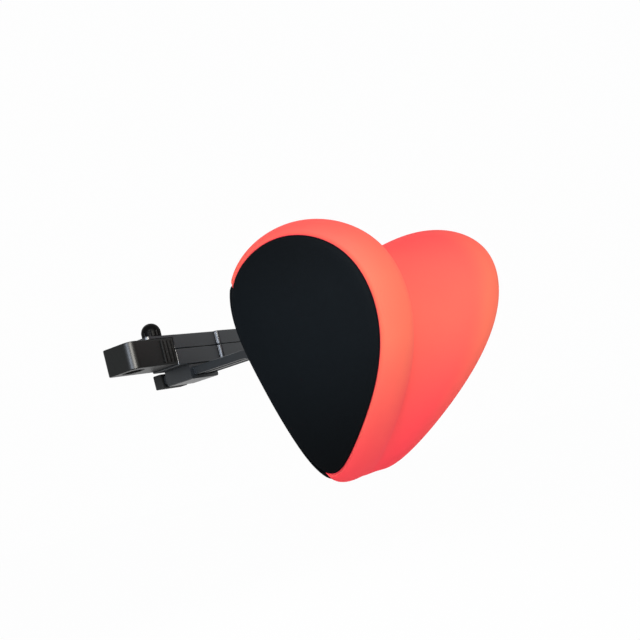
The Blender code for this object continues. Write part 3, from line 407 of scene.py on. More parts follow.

# %% Painted light and shade on the cover
PAINTED_LIGHT_HEIGHT = 0.60              # share of the pillow's height where the painted light is brightest; above and below it the cover is painted darker
PAINTED_LIGHT_REACH = 0.40               # how far up and down from there the painted light fades into painted shade
RECESS_PAINTED_SHADE = 0.36                 # how much painted shade lies in the recess between the ridges
RIDGE_BLEND = 26 * MM              # how softly that change goes over a ridge
LIP_HIGHLIGHT_AT = 1.5 * MM                  # where the painted highlight on the rolled lip beside a seam lies, from the seam
# reach of the lip's painted highlight and of the painted shade in the seam
LIP_REACH = 0.7 * MM
SEAM_PAINTED_SHADE = 0.8                   # share of the painted light taken out in the seam itself: a painted shade along its groove
LINING_DIP = 0.5                   # share of the seam's groove that the lining follows


def step_up(value, edge):
    """0 below zero and 1 above edge, with a smooth rise between: 3t^2 - 2t^3."""
    share = np.clip(value / edge, 0, 1)
    return share * share * (3 - 2 * share)


def painted_light_map():
    """Painted light and shade on the cover, 0 for fully shaded to 1 for fully lit.

    It is a bell curve of the height, so the top and the bottom are painted darker, with painted
    shade in the recess, a painted highlight on the lip beside a seam and the deepest painted
    shade in the seam itself.
    """
    height = skin[..., 2] + PILLOW_DROP
    lit_share = np.exp(-((height / PILLOW_HEIGHT - PAINTED_LIGHT_HEIGHT) / PAINTED_LIGHT_REACH) ** 2)
    inside = step_up(spread(height, *RIDGE) - abs(skin[..., 0]) + RIDGE_BLEND / 2, RIDGE_BLEND)
    lit_share *= 1 - RECESS_PAINTED_SHADE * inside
    lip_highlight = np.exp(-((seam_gap - LIP_HIGHLIGHT_AT) / LIP_REACH) ** 2) * np.sqrt(lit_share)
    return np.maximum(lit_share, lip_highlight) * (1 - SEAM_PAINTED_SHADE * np.exp(-(seam_gap / LIP_REACH) ** 2))


# how far each point of the cover is painted lit or painted shaded
painted_light_share = painted_light_map()
outside = skin + normals * (swelling - dip)[..., None]
lining = skin + normals * (swelling - CLOTH - LINING_DIP * dip)[..., None]
print(f"seams dip {dip.max() / MM:.2f} mm")

# %% [markdown]
# ## Knit
# The cover is a warp knit with elastane: fine ribs of loops, matt, with a faint bloom of
# light at grazing angles. The ribs are drawn on each panel's own cloth coordinates, which are
# lengths along the skin, so they follow the panel as real ribs do. Real loops are about half
# a millimetre apart, too fine to show here, so they are drawn twice as coarse.

# %% Knit material
WALE = 1.1 * MM                    # rib to rib, coarser than the real 0.5 mm so that it shows
COURSE = 0.9 * MM                  # loop to loop along a rib
KNIT_RELIEF = 0.035 * MM
CLOUD = 45 * MM                    # size of the faint uneven patches in the knit's tone
CLOUD_SHARE = 0.1                  # how much they add to the painted light share
LOOP_SHARE = 0.2                   # how much of a rib's height rises and falls with its loops
GROOVE_OWN = 0.7                   # share of the cloth's own colour in the grooves; the rest is the painted groove shade
CREST_GAIN = 0.4                   # how fast it grows from there towards a rib's crest
KNIT_ROUGHNESS = 0.8
SHEEN_ROUGHNESS = 0.45


def knit(name, shaded_colour, lit_colour, groove_shade, sheen, gloss):
    """Knit cloth: ribs times slanting loops give both the bump and a painted shade in the rib grooves.

    Rib height rises in a straight line from each groove to the middle of the wale, and a loop
    is a sine along it, shifted by that height so that the two halves of a loop make a V. The
    colour runs from a painted shaded tone to a painted lit tone with the piece's painted light
    share, plus a faint cloud of uneven tone.
    """
    material, tree, shader = finish_of(
        name, shaded_colour, KNIT_ROUGHNESS, Sheen_Weight=sheen, Sheen_Roughness=SHEEN_ROUGHNESS,
        Sheen_Tint=linear(lit_colour), Specular_IOR_Level=gloss)
    cloth = add(tree, "ShaderNodeUVMap", {"uv_map": "cloth"})
    axes = add(tree, "ShaderNodeSeparateXYZ", Vector=cloth.outputs["UV"])
    wales = add(tree, "ShaderNodeMath", {"operation": "DIVIDE"}, i0=axes.outputs["X"], i1=WALE)
    saw = add(tree, "ShaderNodeMath", {"operation": "PINGPONG"}, i0=wales.outputs[0], i1=0.5)
    rib = add(tree, "ShaderNodeMath", {"operation": "MULTIPLY"}, i0=saw.outputs[0], i1=2.0)
    courses = add(tree, "ShaderNodeMath", {"operation": "DIVIDE"}, i0=axes.outputs["Y"], i1=COURSE)
    slant = add(tree, "ShaderNodeMath", {"operation": "ADD"}, i0=courses.outputs[0], i1=saw.outputs[0])
    turns = add(tree, "ShaderNodeMath", {"operation": "MULTIPLY"}, i0=slant.outputs[0], i1=2 * math.pi)
    loop = add(tree, "ShaderNodeMath", {"operation": "SINE"}, i0=turns.outputs[0])
    loops = add(tree, "ShaderNodeMath", {"operation": "MULTIPLY_ADD"},
                i0=loop.outputs[0], i1=LOOP_SHARE, i2=1 - LOOP_SHARE)
    height = add(tree, "ShaderNodeMath", {"operation": "MULTIPLY"}, i0=rib.outputs[0], i1=loops.outputs[0])
    bump = add(tree, "ShaderNodeBump", Height=height.outputs[0], Distance=KNIT_RELIEF, Strength=1.0)
    tree.links.new(bump.outputs["Normal"], shader.inputs["Normal"])
    place = add(tree, "ShaderNodeTexCoord")
    cloud = add(tree, "ShaderNodeTexNoise", Vector=place.outputs["Object"], Scale=1 / CLOUD, Detail=1.0)
    # the cover's painted light and shade, one value for each point
    light_attribute = add(tree, "ShaderNodeAttribute", {"attribute_name": "painted_light"})
    light_and_cloud = add(tree, "ShaderNodeMath", {"operation": "MULTIPLY_ADD"},
               i0=cloud.outputs["Fac"], i1=CLOUD_SHARE, i2=light_attribute.outputs["Fac"])
    tone = add(tree, "ShaderNodeMix", {"data_type": "RGBA"}, Factor=light_and_cloud.outputs[0],
               i6=linear(shaded_colour), i7=linear(lit_colour))
    # painted shade in the rib grooves: the groove colour is mixed in where a rib is low
    crest = add(tree, "ShaderNodeMath", {"operation": "MULTIPLY_ADD"},
                i0=height.outputs[0], i1=CREST_GAIN, i2=GROOVE_OWN)
    shade = add(tree, "ShaderNodeMix", {"data_type": "RGBA"}, Factor=crest.outputs[0],
                i6=linear(groove_shade), i7=tone.outputs[2])
    tree.links.new(shade.outputs[2], shader.inputs["Base Color"])
    return material


# colours: painted shaded tone, painted lit tone and painted groove shade, for a coral and a black knit
coral_knit = knit("coral_warp_knit", "#FF304E", "#FF7A5E", "#F8564E", 0.05, 0.06)
black_knit = knit("black_warp_knit", "#030405", "#11161A", "#090B0D", 0.01, 0.02)
print("knits:", coral_knit.name, black_knit.name)

# %% [markdown]
# ## Cover panels
# Four panels make the cover: coral over the front and both ridges, black on the two sides
# and the back. Each is cut from the same skin, so neighbours meet exactly, and each is a
# closed sheet of cloth with a lining face. Its cloth coordinates are lengths along the skin.


def drawn_back(edge, inner):
    """Border points moved towards their inner neighbours by half a clearance."""
    step = edge - inner
    return inner + step * (1 - CLEAR / 2 / np.linalg.norm(step, axis=1, keepdims=True))


def drawn_in(points):
    """The panel with its first and last rows drawn back, so that neighbours stay apart."""
    points = points.copy()
    points[0] = drawn_back(points[0], points[1])
    points[-1] = drawn_back(points[-1], points[-2])
    return points


def strip_panel(name, first, last, material, slot):
    """A panel between the side seams, from one column of the skin to another, with four rims."""
    columns = np.arange(first, last + 1) % COLUMNS
    faces_of = [drawn_in(drawn_in(side[LOW:HIGH + 1][:, columns]).swapaxes(0, 1)).swapaxes(0, 1)
                for side in (outside, lining)]
    rows, count = faces_of[0].shape[:2]
    across, around = arc(faces_of[0], 0), arc(faces_of[0], 1)
    uv = np.stack([across - across[rows // 2], np.broadcast_to(around[rows // 4], across.shape)], -1)
    index = np.arange(rows * count).reshape(rows, count)
    rim = np.concatenate([index[0], index[1:, -1], index[-1, -2::-1], index[-2:0:-1, 0]])
    face = grid_quads(rows, count)
    faces = np.concatenate([face[:, ::-1], face + rows * count, belt(rim, rim + rows * count)])
    # painted light and shade for both faces of the panel, handed to the knit as a point attribute
    painted_light = np.tile(painted_light_share[LOW:HIGH + 1][:, columns].ravel(), 2)
    panel = new_piece(name, np.concatenate([f.reshape(-1, 3) for f in faces_of]), faces, material, "pillow",
                      slot, np.tile(uv.reshape(-1, 2), (2, 1)), {"painted_light": painted_light})
    return panel


def side_panel(name, right, material, slot):
    """A side panel: rings from its seam in to one middle point, inside and out, with one rim."""
    rows = slice(LOW, None, -1) if right else slice(HIGH, None)
    rings = [side[rows].copy() for side in (outside, lining)]
    for ring in rings:
        ring[0] = drawn_back(ring[0], ring[1])
    count = len(rings[0]) - 1
    dishes, faces = [], []
    for number, ring in enumerate(rings):
        start = number * (count * COLUMNS + 1)
        pole = start + count * COLUMNS
        last = start + (count - 1) * COLUMNS + np.arange(COLUMNS)
        dishes.append(np.vstack([ring[:-1].reshape(-1, 3), ring[-1].mean(axis=0)]))
        quads = grid_quads(count, COLUMNS, closed=True, start=start)
        turn = -1 if right == (number == 0) else 1
        faces += quads[:, ::turn].tolist() + fan(last, pole)[:, ::turn].tolist()
    rim, under = np.arange(COLUMNS), np.arange(COLUMNS) + count * COLUMNS + 1
    turn = 1 if right else -1
    faces += belt(rim, under)[:, ::turn].tolist()
    points = np.vstack(dishes)
    # painted light and shade for both faces of the panel, the middle point taking its ring's mean
    painted_light = np.append(painted_light_share[rows][:-1].ravel(), painted_light_share[rows][-1].mean())
    panel = new_piece(name, points, faces, material, "pillow", slot, points[:, 1:],
                      {"painted_light": np.tile(painted_light, 2)})
    return panel


cover_front = strip_panel("cover_front", FIRST, LAST, coral_knit, "coral_cloth")
cover_back = strip_panel("cover_back", LAST, FIRST + COLUMNS, black_knit, "black_cloth")
cover_right = side_panel("cover_right", True, black_knit, "black_cloth")
cover_left = side_panel("cover_left", False, black_knit, "black_cloth")
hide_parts("front_cover")
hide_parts("back_panel")
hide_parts("side_panel_right")
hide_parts("side_panel_left")

# %% [markdown]
# ## Foam body
# Under the cover lies one moulded block of slow-recovery foam, with a shallow pocket in its
# back for the backing plate. It is the same skin drawn in by the cloth, and the pocket is a
# soft-edged box pressed into its back. Nobody sees it while the zip is closed, so it is
# drawn with a quarter of the skin's points.

# %% Foam
POCKET_DEPTH = 3.9 * MM            # backing plate with its clearance on both faces
POCKET_MARGIN = 0.6 * MM
POCKET_EDGE = 1.0 * MM             # how softly the pocket's rim rounds over
BACK_ZONE = 0.1                    # share of the depth in which the pocket is pressed
FOAM_ROUGHNESS = 0.95
PORE = 1.2 * MM
PORE_RELIEF = 0.15 * MM
PORE_STRENGTH = 0.8
FOAM_MOTTLE = 20 * MM


def foam():
    """Open-cell foam: fine pores as Voronoi cells over a soft mottle."""
    material, tree, shader = finish_of("moulded_memory_foam", "#E6DCC0", FOAM_ROUGHNESS)
    place = add(tree, "ShaderNodeTexCoord")
    pores = add(tree, "ShaderNodeTexVoronoi", Vector=place.outputs["Object"], Scale=1 / PORE)
    bump = add(tree, "ShaderNodeBump", Height=pores.outputs["Distance"],
               Distance=PORE_RELIEF, Strength=PORE_STRENGTH)
    tree.links.new(bump.outputs["Normal"], shader.inputs["Normal"])
    mottle = add(tree, "ShaderNodeTexNoise", Vector=place.outputs["Object"],
                 Scale=1 / FOAM_MOTTLE, Detail=2.0)
    tone = add(tree, "ShaderNodeMix", {"data_type": "RGBA"}, Factor=mottle.outputs["Fac"],
               i6=linear("#DDD2B4"), i7=linear("#EFE6CE"))
    tree.links.new(tone.outputs[2], shader.inputs["Base Color"])
    return material


def foam_body():
    """The skin drawn in by the cloth and a clearance, less the backing plate's pocket."""
    inside = (skin + normals * (swelling - CLOTH - CLEAR - SEAM_DIP * LINING_DIP)[..., None])[::2, ::2]
    low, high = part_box("backing_plate")
    middle, half = (np.array(low) + high) / 2, (np.array(high) - low) / 2 + POCKET_MARGIN + POCKET_EDGE
    room_x, room_z = half[0] - abs(inside[..., 0] - middle[0]), half[2] - abs(inside[..., 2] - middle[2])
    on_back = inside[..., 1] > BACK_Y - BACK_ZONE * PILLOW_DEPTH
    inside[..., 1] -= on_back * POCKET_DEPTH * step_up(room_x, POCKET_EDGE) * step_up(room_z, POCKET_EDGE)
    rows, count = inside.shape[:2]
    points = np.vstack([inside[1:-1].reshape(-1, 3), inside[0].mean(axis=0), inside[-1].mean(axis=0)])
    body = new_piece("foam_body", points, shell_faces(rows - 2, count), foam(), "pillow", "foam")
    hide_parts("foam_core")
    return body


foam_body()

# %% [markdown]
# ## Seam allowances
# Where two panels are sewn together, their edges turn inwards and lie under the seam as a dark
# strip. It closes the bottom of the groove. It is a flat profile carried along the seam's path,
# which keeps it thin and exactly under the seam.

# %% Strips along a path
def ribbon(path, across, up, half_width, low, high):
    """A closed flat strip along a path: at each point the corners of a thin rectangle.

    A corner is the path's point plus across times half the width plus up times low or high.
    """
    corners = [(-1, low), (1, low), (1, high), (-1, high)]
    return np.stack([path + across * half_width * side + up * level for side, level in corners], axis=1)


def tube_faces(rings, sides, closed, start=0):
    """Quads between the rings of a tube, with a flat face on each end of an open one."""
    if closed:
        return (grid_quads(rings + 1, sides, closed=True) % (rings * sides) + start).tolist()
    ends = [np.arange(sides)[::-1] + start, np.arange(sides) + (rings - 1) * sides + start]
    return grid_quads(rings, sides, closed=True, start=start).tolist() + [end.tolist() for end in ends]


# %% Seam allowances
ALLOWANCE_HALF = 3.0 * MM
ALLOWANCE_LOW = -(CLOTH + 1.02 * MM)   # between the lining's dip and the foam
ALLOWANCE_HIGH = -(CLOTH + 0.85 * MM)
BETWEEN = slice(LOW + 4, HIGH - 3)     # the back seams stop four rows short of the side seams


def allowance(name, points, out, closed):
    """The strip under one seam."""
    along = np.roll(points, -1, axis=0) - np.roll(points, 1, axis=0)
    if not closed:
        along[0], along[-1] = points[1] - points[0], points[-1] - points[-2]
    across = np.cross(along, out)
    across /= np.linalg.norm(across, axis=1, keepdims=True)
    strip = ribbon(points, across, out, ALLOWANCE_HALF, ALLOWANCE_LOW, ALLOWANCE_HIGH)
    faces = tube_faces(len(points), 4, closed)
    return new_piece(name, strip, faces, black_knit, "pillow", "black_cloth", strip[..., 1:])


for name, seam in (
        ("allowance_right", (skin[LOW], normals[LOW], True)),
        ("allowance_left", (skin[HIGH], normals[HIGH], True)),
        ("allowance_top", (skin[BETWEEN, LAST], normals[BETWEEN, LAST], False)),
        ("allowance_bottom", (skin[BETWEEN, FIRST % COLUMNS], normals[BETWEEN, FIRST % COLUMNS], False))):
    allowance(name, *seam)

# %% [markdown]
# ## Moulded plastics and rubber
# The clamp is injection moulded ABS. Its mould is finely spark-eroded, so the surface is satin
# with a grain of about a third of a millimetre, and highlights run along the rounded edges. The
# sliding collar and the knob are nylon, which is blacker and smoother; the collar's darker colour
# beside the housing is partly painted shade. The bore liners, the arm's end cap and its brake
# pad are rubber: matt, with almost no highlight.

# %% Plastics and rubber
GRAIN_SPREAD = 0.08                # how much the roughness varies with the grain


def mottled(name, dark, light, roughness, gloss, grain_size, grain_depth, cloud_size):
    """A moulded or rolled surface: fine grain as bump, and a slow drift of colour and roughness."""
    material, tree, shader = finish_of(name, light, roughness, Specular_IOR_Level=gloss)
    place = add(tree, "ShaderNodeTexCoord")
    grain = add(tree, "ShaderNodeTexNoise", Vector=place.outputs["Object"], Scale=1 / grain_size, Detail=2.0)
    bump = add(tree, "ShaderNodeBump", Height=grain.outputs["Fac"], Distance=grain_depth, Strength=1.0)
    tree.links.new(bump.outputs["Normal"], shader.inputs["Normal"])
    cloud = add(tree, "ShaderNodeTexNoise", Vector=place.outputs["Object"], Scale=1 / cloud_size, Detail=3.0)
    tone = add(tree, "ShaderNodeMix", {"data_type": "RGBA"}, Factor=cloud.outputs["Fac"],
               i6=linear(dark), i7=linear(light))
    tree.links.new(tone.outputs[2], shader.inputs["Base Color"])
    speckle = add(tree, "ShaderNodeMath", {"operation": "MULTIPLY_ADD"},
                  i0=grain.outputs["Fac"], i1=GRAIN_SPREAD, i2=roughness - GRAIN_SPREAD / 2)
    tree.links.new(speckle.outputs[0], shader.inputs["Roughness"])
    return material


satin_abs = mottled("satin_moulded_abs", "#12171B", "#1A2127", 0.36, 0.40,
                    0.35 * MM, 0.008 * MM, 14 * MM)
# darker base colours than the housing's: partly the nylon's own black, partly painted shade on the collar
nylon_with_painted_shade = mottled("smooth_moulded_nylon_with_painted_shade", "#060807", "#0A0D0C", 0.40, 0.18,
                       0.30 * MM, 0.005 * MM, 12 * MM)
knob_nylon = mottled("knob_moulded_nylon", "#040404", "#080808", 0.42, 0.03,
                     0.30 * MM, 0.003 * MM, 9 * MM)
inner_pp = mottled("grey_moulded_polypropylene", "#3A3C3D", "#454748", 0.55, 0.35,
                   0.5 * MM, 0.02 * MM, 18 * MM)
natural_nylon = mottled("natural_nylon_washer", "#D2CFC4", "#E0DED4", 0.45, 0.4,
                        0.3 * MM, 0.01 * MM, 5 * MM)
liner_rubber = mottled("moulded_rubber", "#0B0C0C", "#151616", 0.78, 0.25,
                       0.5 * MM, 0.03 * MM, 8 * MM)
print("materials so far:", len(bpy.data.materials))

# %% [markdown]
# ## Metals
# The screws, the pivot bolt and the stud are zinc plated steel: a cool grey with a faint
# crystalline mottle. The zip's slider and pull are cast zinc under black enamel, which has the
# same formula as the plastics but shines more.

# %% Metals
CRYSTAL_STRENGTH = 0.6


def metal(name, dark, light, roughness, cell, relief):
    """Bare or plated metal: crystal cells tint it and lie on it as a faint relief."""
    material, tree, shader = finish_of(name, light, roughness, Metallic=1.0)
    place = add(tree, "ShaderNodeTexCoord")
    crystals = add(tree, "ShaderNodeTexVoronoi", Vector=place.outputs["Object"], Scale=1 / cell)
    tone = add(tree, "ShaderNodeMix", {"data_type": "RGBA"}, Factor=crystals.outputs["Distance"],
               i6=linear(dark), i7=linear(light))
    tree.links.new(tone.outputs[2], shader.inputs["Base Color"])
    bump = add(tree, "ShaderNodeBump", Height=crystals.outputs["Distance"],
               Distance=relief, Strength=CRYSTAL_STRENGTH)
    tree.links.new(bump.outputs["Normal"], shader.inputs["Normal"])
    return material


zinc_plate = metal("zinc_plated_steel", "#A9AEB3", "#C9CDD1", 0.40, 0.8 * MM, 0.004 * MM)
black_enamel = mottled("enamelled_zinc_casting", "#0B0C0D", "#15171A", 0.24, 0.5,
                       0.6 * MM, 0.006 * MM, 3 * MM)
print("materials in all:", len(bpy.data.materials))

# %% [markdown]
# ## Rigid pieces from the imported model
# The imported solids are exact, but their meshes are loose triangles, which shade every rounded
# corner in facets. So the moulded and cast ones are copied, their doubled points are merged and
# their round faces are shaded as one curve. Weighted normals keep the large flat faces flat. The
# copy takes the finish and stands for the solid. Plates, nuts and washers, which are small or
# hidden, keep their solid and only change their finish.

# %% Rigid pieces
SMOOTH_BELOW = 38                  # degrees: softer edges than this are shaded as one curve
FLAT_BELOW = 0.5                   # degrees: faces closer than this to one plane become one
MERGE_REACH = 0.002 * MM

body_of = {}
for body, members in frame["record"]["behaviour"]["bodies"].items():
    body_of.update((member, body) for member in members)


def dressed(node, name, material, shape=None):
    """A merged, smooth-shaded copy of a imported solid, riding on the same body; shape may refine it."""
    mesh = frame["nodes"][node].data.copy()
    mesh.name = name
    form = bmesh.new()
    form.from_mesh(mesh)
    bmesh.ops.remove_doubles(form, verts=form.verts, dist=MERGE_REACH)
    bmesh.ops.dissolve_limit(form, angle_limit=math.radians(FLAT_BELOW), verts=form.verts, edges=form.edges)
    if shape:
        shape(form)
    form.to_mesh(mesh)
    form.free()
    mesh.materials.clear()
    mesh.materials.append(material)
    mesh.shade_smooth()
    mesh.set_sharp_from_angle(angle=math.radians(SMOOTH_BELOW))
    piece = placed(name, mesh)
    even = piece.modifiers.new("even", "WEIGHTED_NORMAL")
    even.keep_sharp = True
    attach(piece, body_of[node])
    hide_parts(node)
    print(f"{name}: {len(mesh.vertices)} points from {node}")
    return piece


# %% [markdown]
# ## The step in the housing's front
# The fixed collar stands a little in front of the rest of the housing, and the two join in a
# round moulded shoulder that catches the light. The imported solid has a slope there, with one
# chord for each fillet. A bevel would round its edges but leave the slope, so the front is cut
# into narrow strips, and their points move from the slope to the shoulder.

# %% The step in the housing's front
FRONT_Y = -15 * MM                 # the housing's front face
STEP_PROUD = 3 * MM                # how far the fixed collar stands in front of it
STEP_MIDDLE = 28 * MM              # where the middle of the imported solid's slope is
STEP_RUN = 10 * MM                 # how long that slope is
STEP_ROUND = 12 * MM               # radius of its two fillets
SHOULDER_FOOT = 25.6 * MM          # where the moulded shoulder rises from the front face
CUT_PITCH = 1.0 * MM               # width of a strip
SHOULDER_CUTS = 10                 # closer cuts on the shoulder itself
FRONT_REACH = 1.5 * MM             # points this close to the front face move with it


def packed_step(x):
    """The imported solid's step: a slope with one chord for each of its two fillets."""
    slope = math.atan2(STEP_PROUD, STEP_RUN)
    reach = STEP_ROUND * math.tan(slope / 2)
    ends = (STEP_RUN / 2 + reach, STEP_RUN / 2 - reach * math.cos(slope))
    levels = (0, reach * math.sin(slope), STEP_PROUD - reach * math.sin(slope), STEP_PROUD)
    return np.interp(x - STEP_MIDDLE, (-ends[0], -ends[1], ends[1], ends[0]), levels)


def moulded_step(x):
    """The moulded shoulder: a quarter of a circle as wide as it is proud."""
    share = min(max((x - SHOULDER_FOOT) / STEP_PROUD, 0), 1)
    return STEP_PROUD * math.sqrt(1 - (1 - share) ** 2)


def rounder_step(form):
    """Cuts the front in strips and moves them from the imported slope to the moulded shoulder."""
    reach = STEP_RUN / 2 + STEP_ROUND / 4
    turn = np.linspace(0, np.pi / 2, SHOULDER_CUTS)
    cuts = np.concatenate([np.arange(STEP_MIDDLE - reach, STEP_MIDDLE + reach, CUT_PITCH),
                           SHOULDER_FOOT + STEP_PROUD * (1 - np.cos(turn))])
    for x in np.unique(cuts.round(5)):   # to a hundredth of a millimetre
        everything = form.verts[:] + form.edges[:] + form.faces[:]
        bmesh.ops.bisect_plane(form, geom=everything, plane_co=(x, 0, 0), plane_no=(1, 0, 0))
    for point in form.verts:
        packed = float(packed_step(point.co.x))
        if point.co.y < FRONT_Y - packed + FRONT_REACH:
            point.co.y += packed - moulded_step(point.co.x)


# %% Dressing the rigid pieces
for node, name, material, slot, shape in (
        ("housing_lower", "shell_lower", satin_abs, "clamp_plastic", rounder_step),
        ("housing_upper", "shell_upper", satin_abs, "clamp_plastic", rounder_step),
        ("jaw", "sliding_collar", nylon_with_painted_shade, "clamp_plastic", None),
        ("support_arm", "carrying_arm", satin_abs, "clamp_plastic", None),
        ("pivot_bracket", "eared_bracket", satin_abs, "clamp_plastic", None),
        ("post_liner_left", "bore_liner_left", liner_rubber, "rubber", None),
        ("post_liner_right", "bore_liner_right", liner_rubber, "rubber", None),
        ("arm_end_cap", "tail_cap", liner_rubber, "rubber", None),
        ("zip_slider", "slider_body", black_enamel, "zip_metal", None),
        ("zip_pull", "slider_pull", black_enamel, "zip_metal", None)):
    dressed(node, name, material, shape)

# %% Nodes that only change their finish
for node, material in (
        ("backing_plate", inner_pp), ("brake_pad", liner_rubber), ("knob_stud", zinc_plate),
        ("knob_washer", zinc_plate), ("stud_nut", zinc_plate), ("pivot_nut", zinc_plate),
        ("pivot_washer_left", natural_nylon), ("pivot_washer_right", natural_nylon)):
    for holder in frame["nodes"][node].material_slots:
        holder.material = material
    print(f"{node}: now {material.name}")

# %% [markdown]
# ## Turned pieces
# The screws, the bolt and the knob are all turned about an axis, so they share one formula: a
# profile of radius and height, carried round the axis. A function of the angle then presses
# flutes, a cross recess or a hexagon socket into it. A recess cut with Booleans would have
# sharper edges than a punched one.

# %% Turned pieces
AXIS_FRAMES = {"X": (1, 2, 0), "Y": (0, 2, 1), "Z": (0, 1, 2)}   # two directions across, one along


def turned(name, node, profile, axis, centre, columns, material, slot, press=None):
    """A profile turned about an axis: point = centre + radius * (cos, sin), height along the axis.

    press changes the radii and heights of the whole grid, given with its angles. The node's
    solid is replaced.
    """
    profile = np.array(profile)
    angles = np.linspace(0, 2 * np.pi, columns, endpoint=False)
    radius = np.repeat(profile[1:-1, :1], columns, axis=1)
    height = np.repeat(profile[1:-1, 1:], columns, axis=1)
    if press:
        radius, height = press(radius, height, angles)
    first, second, along = AXIS_FRAMES[axis]
    points = np.zeros((len(profile) - 2, columns, 3))
    points[..., first] = centre[0] + radius * np.cos(angles)
    points[..., second] = centre[1] + radius * np.sin(angles)
    points[..., along] = height
    poles = np.zeros((2, 3))
    poles[:, first], poles[:, second] = centre
    poles[:, along] = profile[[0, -1], 1]
    faces = shell_faces(len(points), columns)
    if axis == "Y":                # its two directions across are in the other order
        faces = [face[::-1] for face in faces]
    piece = new_piece(name, np.vstack([points.reshape(-1, 3), poles]), faces, material, body_of[node], slot)
    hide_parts(node)
    return piece


# %% Screws and bolt
BRACKET_SCREW = (3.7 * MM, 2.0 * MM, 2.6 * MM)   # head's radius, shank's radius, head's height
SHELL_SCREW = (2.8 * MM, 1.5 * MM, 1.9 * MM)
PIVOT_BOLT = (5.5 * MM, 3.0 * MM, 3.6 * MM)
CROSS_WIDTH = 1.1 * MM
CROSS_REACH = 2.0 * MM
CROSS_DEPTH = 1.2 * MM
SHELL_CROSS = 0.75                 # the housing's smaller screws have a smaller cross
SOCKET_ACROSS = 5.0 * MM
SOCKET_DEPTH = 2.2 * MM
PUNCH_EDGE = 0.16 * MM             # how softly a punched edge rolls in
HEAD_WALL = 0.35                   # share of a head's height that is a straight wall
HEAD_FACE = 0.8                    # share of a head's radius at which its rounded edge ends
FACE_START = 0.78                  # share of its radius at which its punched face begins
FACE_END = 0.1 * MM                # innermost ring of that face
FACE_RINGS = 16
ROUND_STEPS = 8                    # points on a quarter turn
SCREW_COLUMNS = 64


def cross(size):
    """A punched cross: 1 where the nearer axis is closer than half a bar and the other within reach."""
    def mask(x, y):
        near, far = np.minimum(abs(x), abs(y)), np.maximum(abs(x), abs(y))
        in_bar = step_up(CROSS_WIDTH * size / 2 - near, PUNCH_EDGE)
        return in_bar * step_up(CROSS_REACH * size - far, PUNCH_EDGE)
    return mask


def hexagon(x, y):
    """A hexagon socket: 1 where the distance along all three pairs of flats is within half its width."""
    turns = (0, math.pi / 3, -math.pi / 3)
    reach = np.max([abs(x * math.cos(turn) + y * math.sin(turn)) for turn in turns], axis=0)
    return step_up(SOCKET_ACROSS / 2 - reach, PUNCH_EDGE)


def punched(mask, depth, rings):
    """Presses a mask into the face that the given rings of a turned grid make."""
    def press(radius, height, angles):
        height = height.copy()
        height[rings] -= depth * mask(radius[rings] * np.cos(angles), radius[rings] * np.sin(angles))
        return radius, height
    return press


def round_head(radius, seat, top):
    """Profile of a pan head from its seat to its face: a short wall, then a quarter ellipse."""
    wall = seat + (top - seat) * HEAD_WALL
    shoulder = [(radius * (HEAD_FACE + (1 - HEAD_FACE) * math.cos(a)), wall + (top - wall) * math.sin(a))
                for a in np.linspace(0, np.pi / 2, ROUND_STEPS)]
    return [(radius - PUNCH_EDGE, seat), (radius, seat + PUNCH_EDGE)] + shoulder


def fastener(node, name, axis, turn, sizes, mask, depth):
    """A screw or bolt along an axis; its punched head is at the high end (turn 1) or the low one (-1)."""
    low, high = (np.array(corner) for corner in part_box(node))
    first, second, along = AXIS_FRAMES[axis]
    centre = ((low + high) / 2)[[first, second]]
    tip, top = (low[along], high[along])[::turn]
    head, shank, head_height = sizes
    seat = top - turn * head_height
    face = [(radius, top) for radius in np.linspace(FACE_START * head, FACE_END, FACE_RINGS)]
    profile = [(0, tip), (shank, tip), (shank, seat)] + round_head(head, seat, top) + face
    profile = (profile + [(0, top - turn * depth)])[::turn]
    rings = slice(-FACE_RINGS, None) if turn > 0 else slice(0, FACE_RINGS)
    return turned(name, node, profile, axis, centre, SCREW_COLUMNS, zinc_plate, "steel",
                  punched(mask, turn * depth, rings))


for number in range(1, 5):
    fastener(f"bracket_screw_{number}", f"pan_screw_{number}", "Y", 1, BRACKET_SCREW, cross(1), CROSS_DEPTH)
for number in range(1, 4):
    fastener(f"housing_screw_{number}", f"shell_screw_{number}", "Z", -1, SHELL_SCREW,
             cross(SHELL_CROSS), CROSS_DEPTH * SHELL_CROSS)
fastener("pivot_bolt", "socket_bolt", "X", -1, PIVOT_BOLT, hexagon, SOCKET_DEPTH)

# %% [markdown]
# ## Lock knob
# A fingertip turns this knob, so it is a smooth dome with shallow flutes round its skirt. The
# flutes are round grooves: the skirt's radius drops by a circle's sagitta near each of them.

# %% Lock knob
KNOB_RADIUS = 8.2 * MM
KNOB_FLUTES = 10
FLUTE_RADIUS = 1.2 * MM
FLUTE_OUT = 0.65 * MM              # the flute's centre lies this far outside the knob
FLUTE_FADE = 2.5 * MM              # height over which a flute runs out into the dome
STUD_HOLE = 2.8 * MM               # radius of the hole that the stud comes up
STUD_ROOM = 7.2 * MM               # how deep it is
SKIRT_ROUND = 0.9 * MM
DOME_STEPS = 26
KNOB_COLUMNS = 240

knob_low, knob_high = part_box("lock_knob")


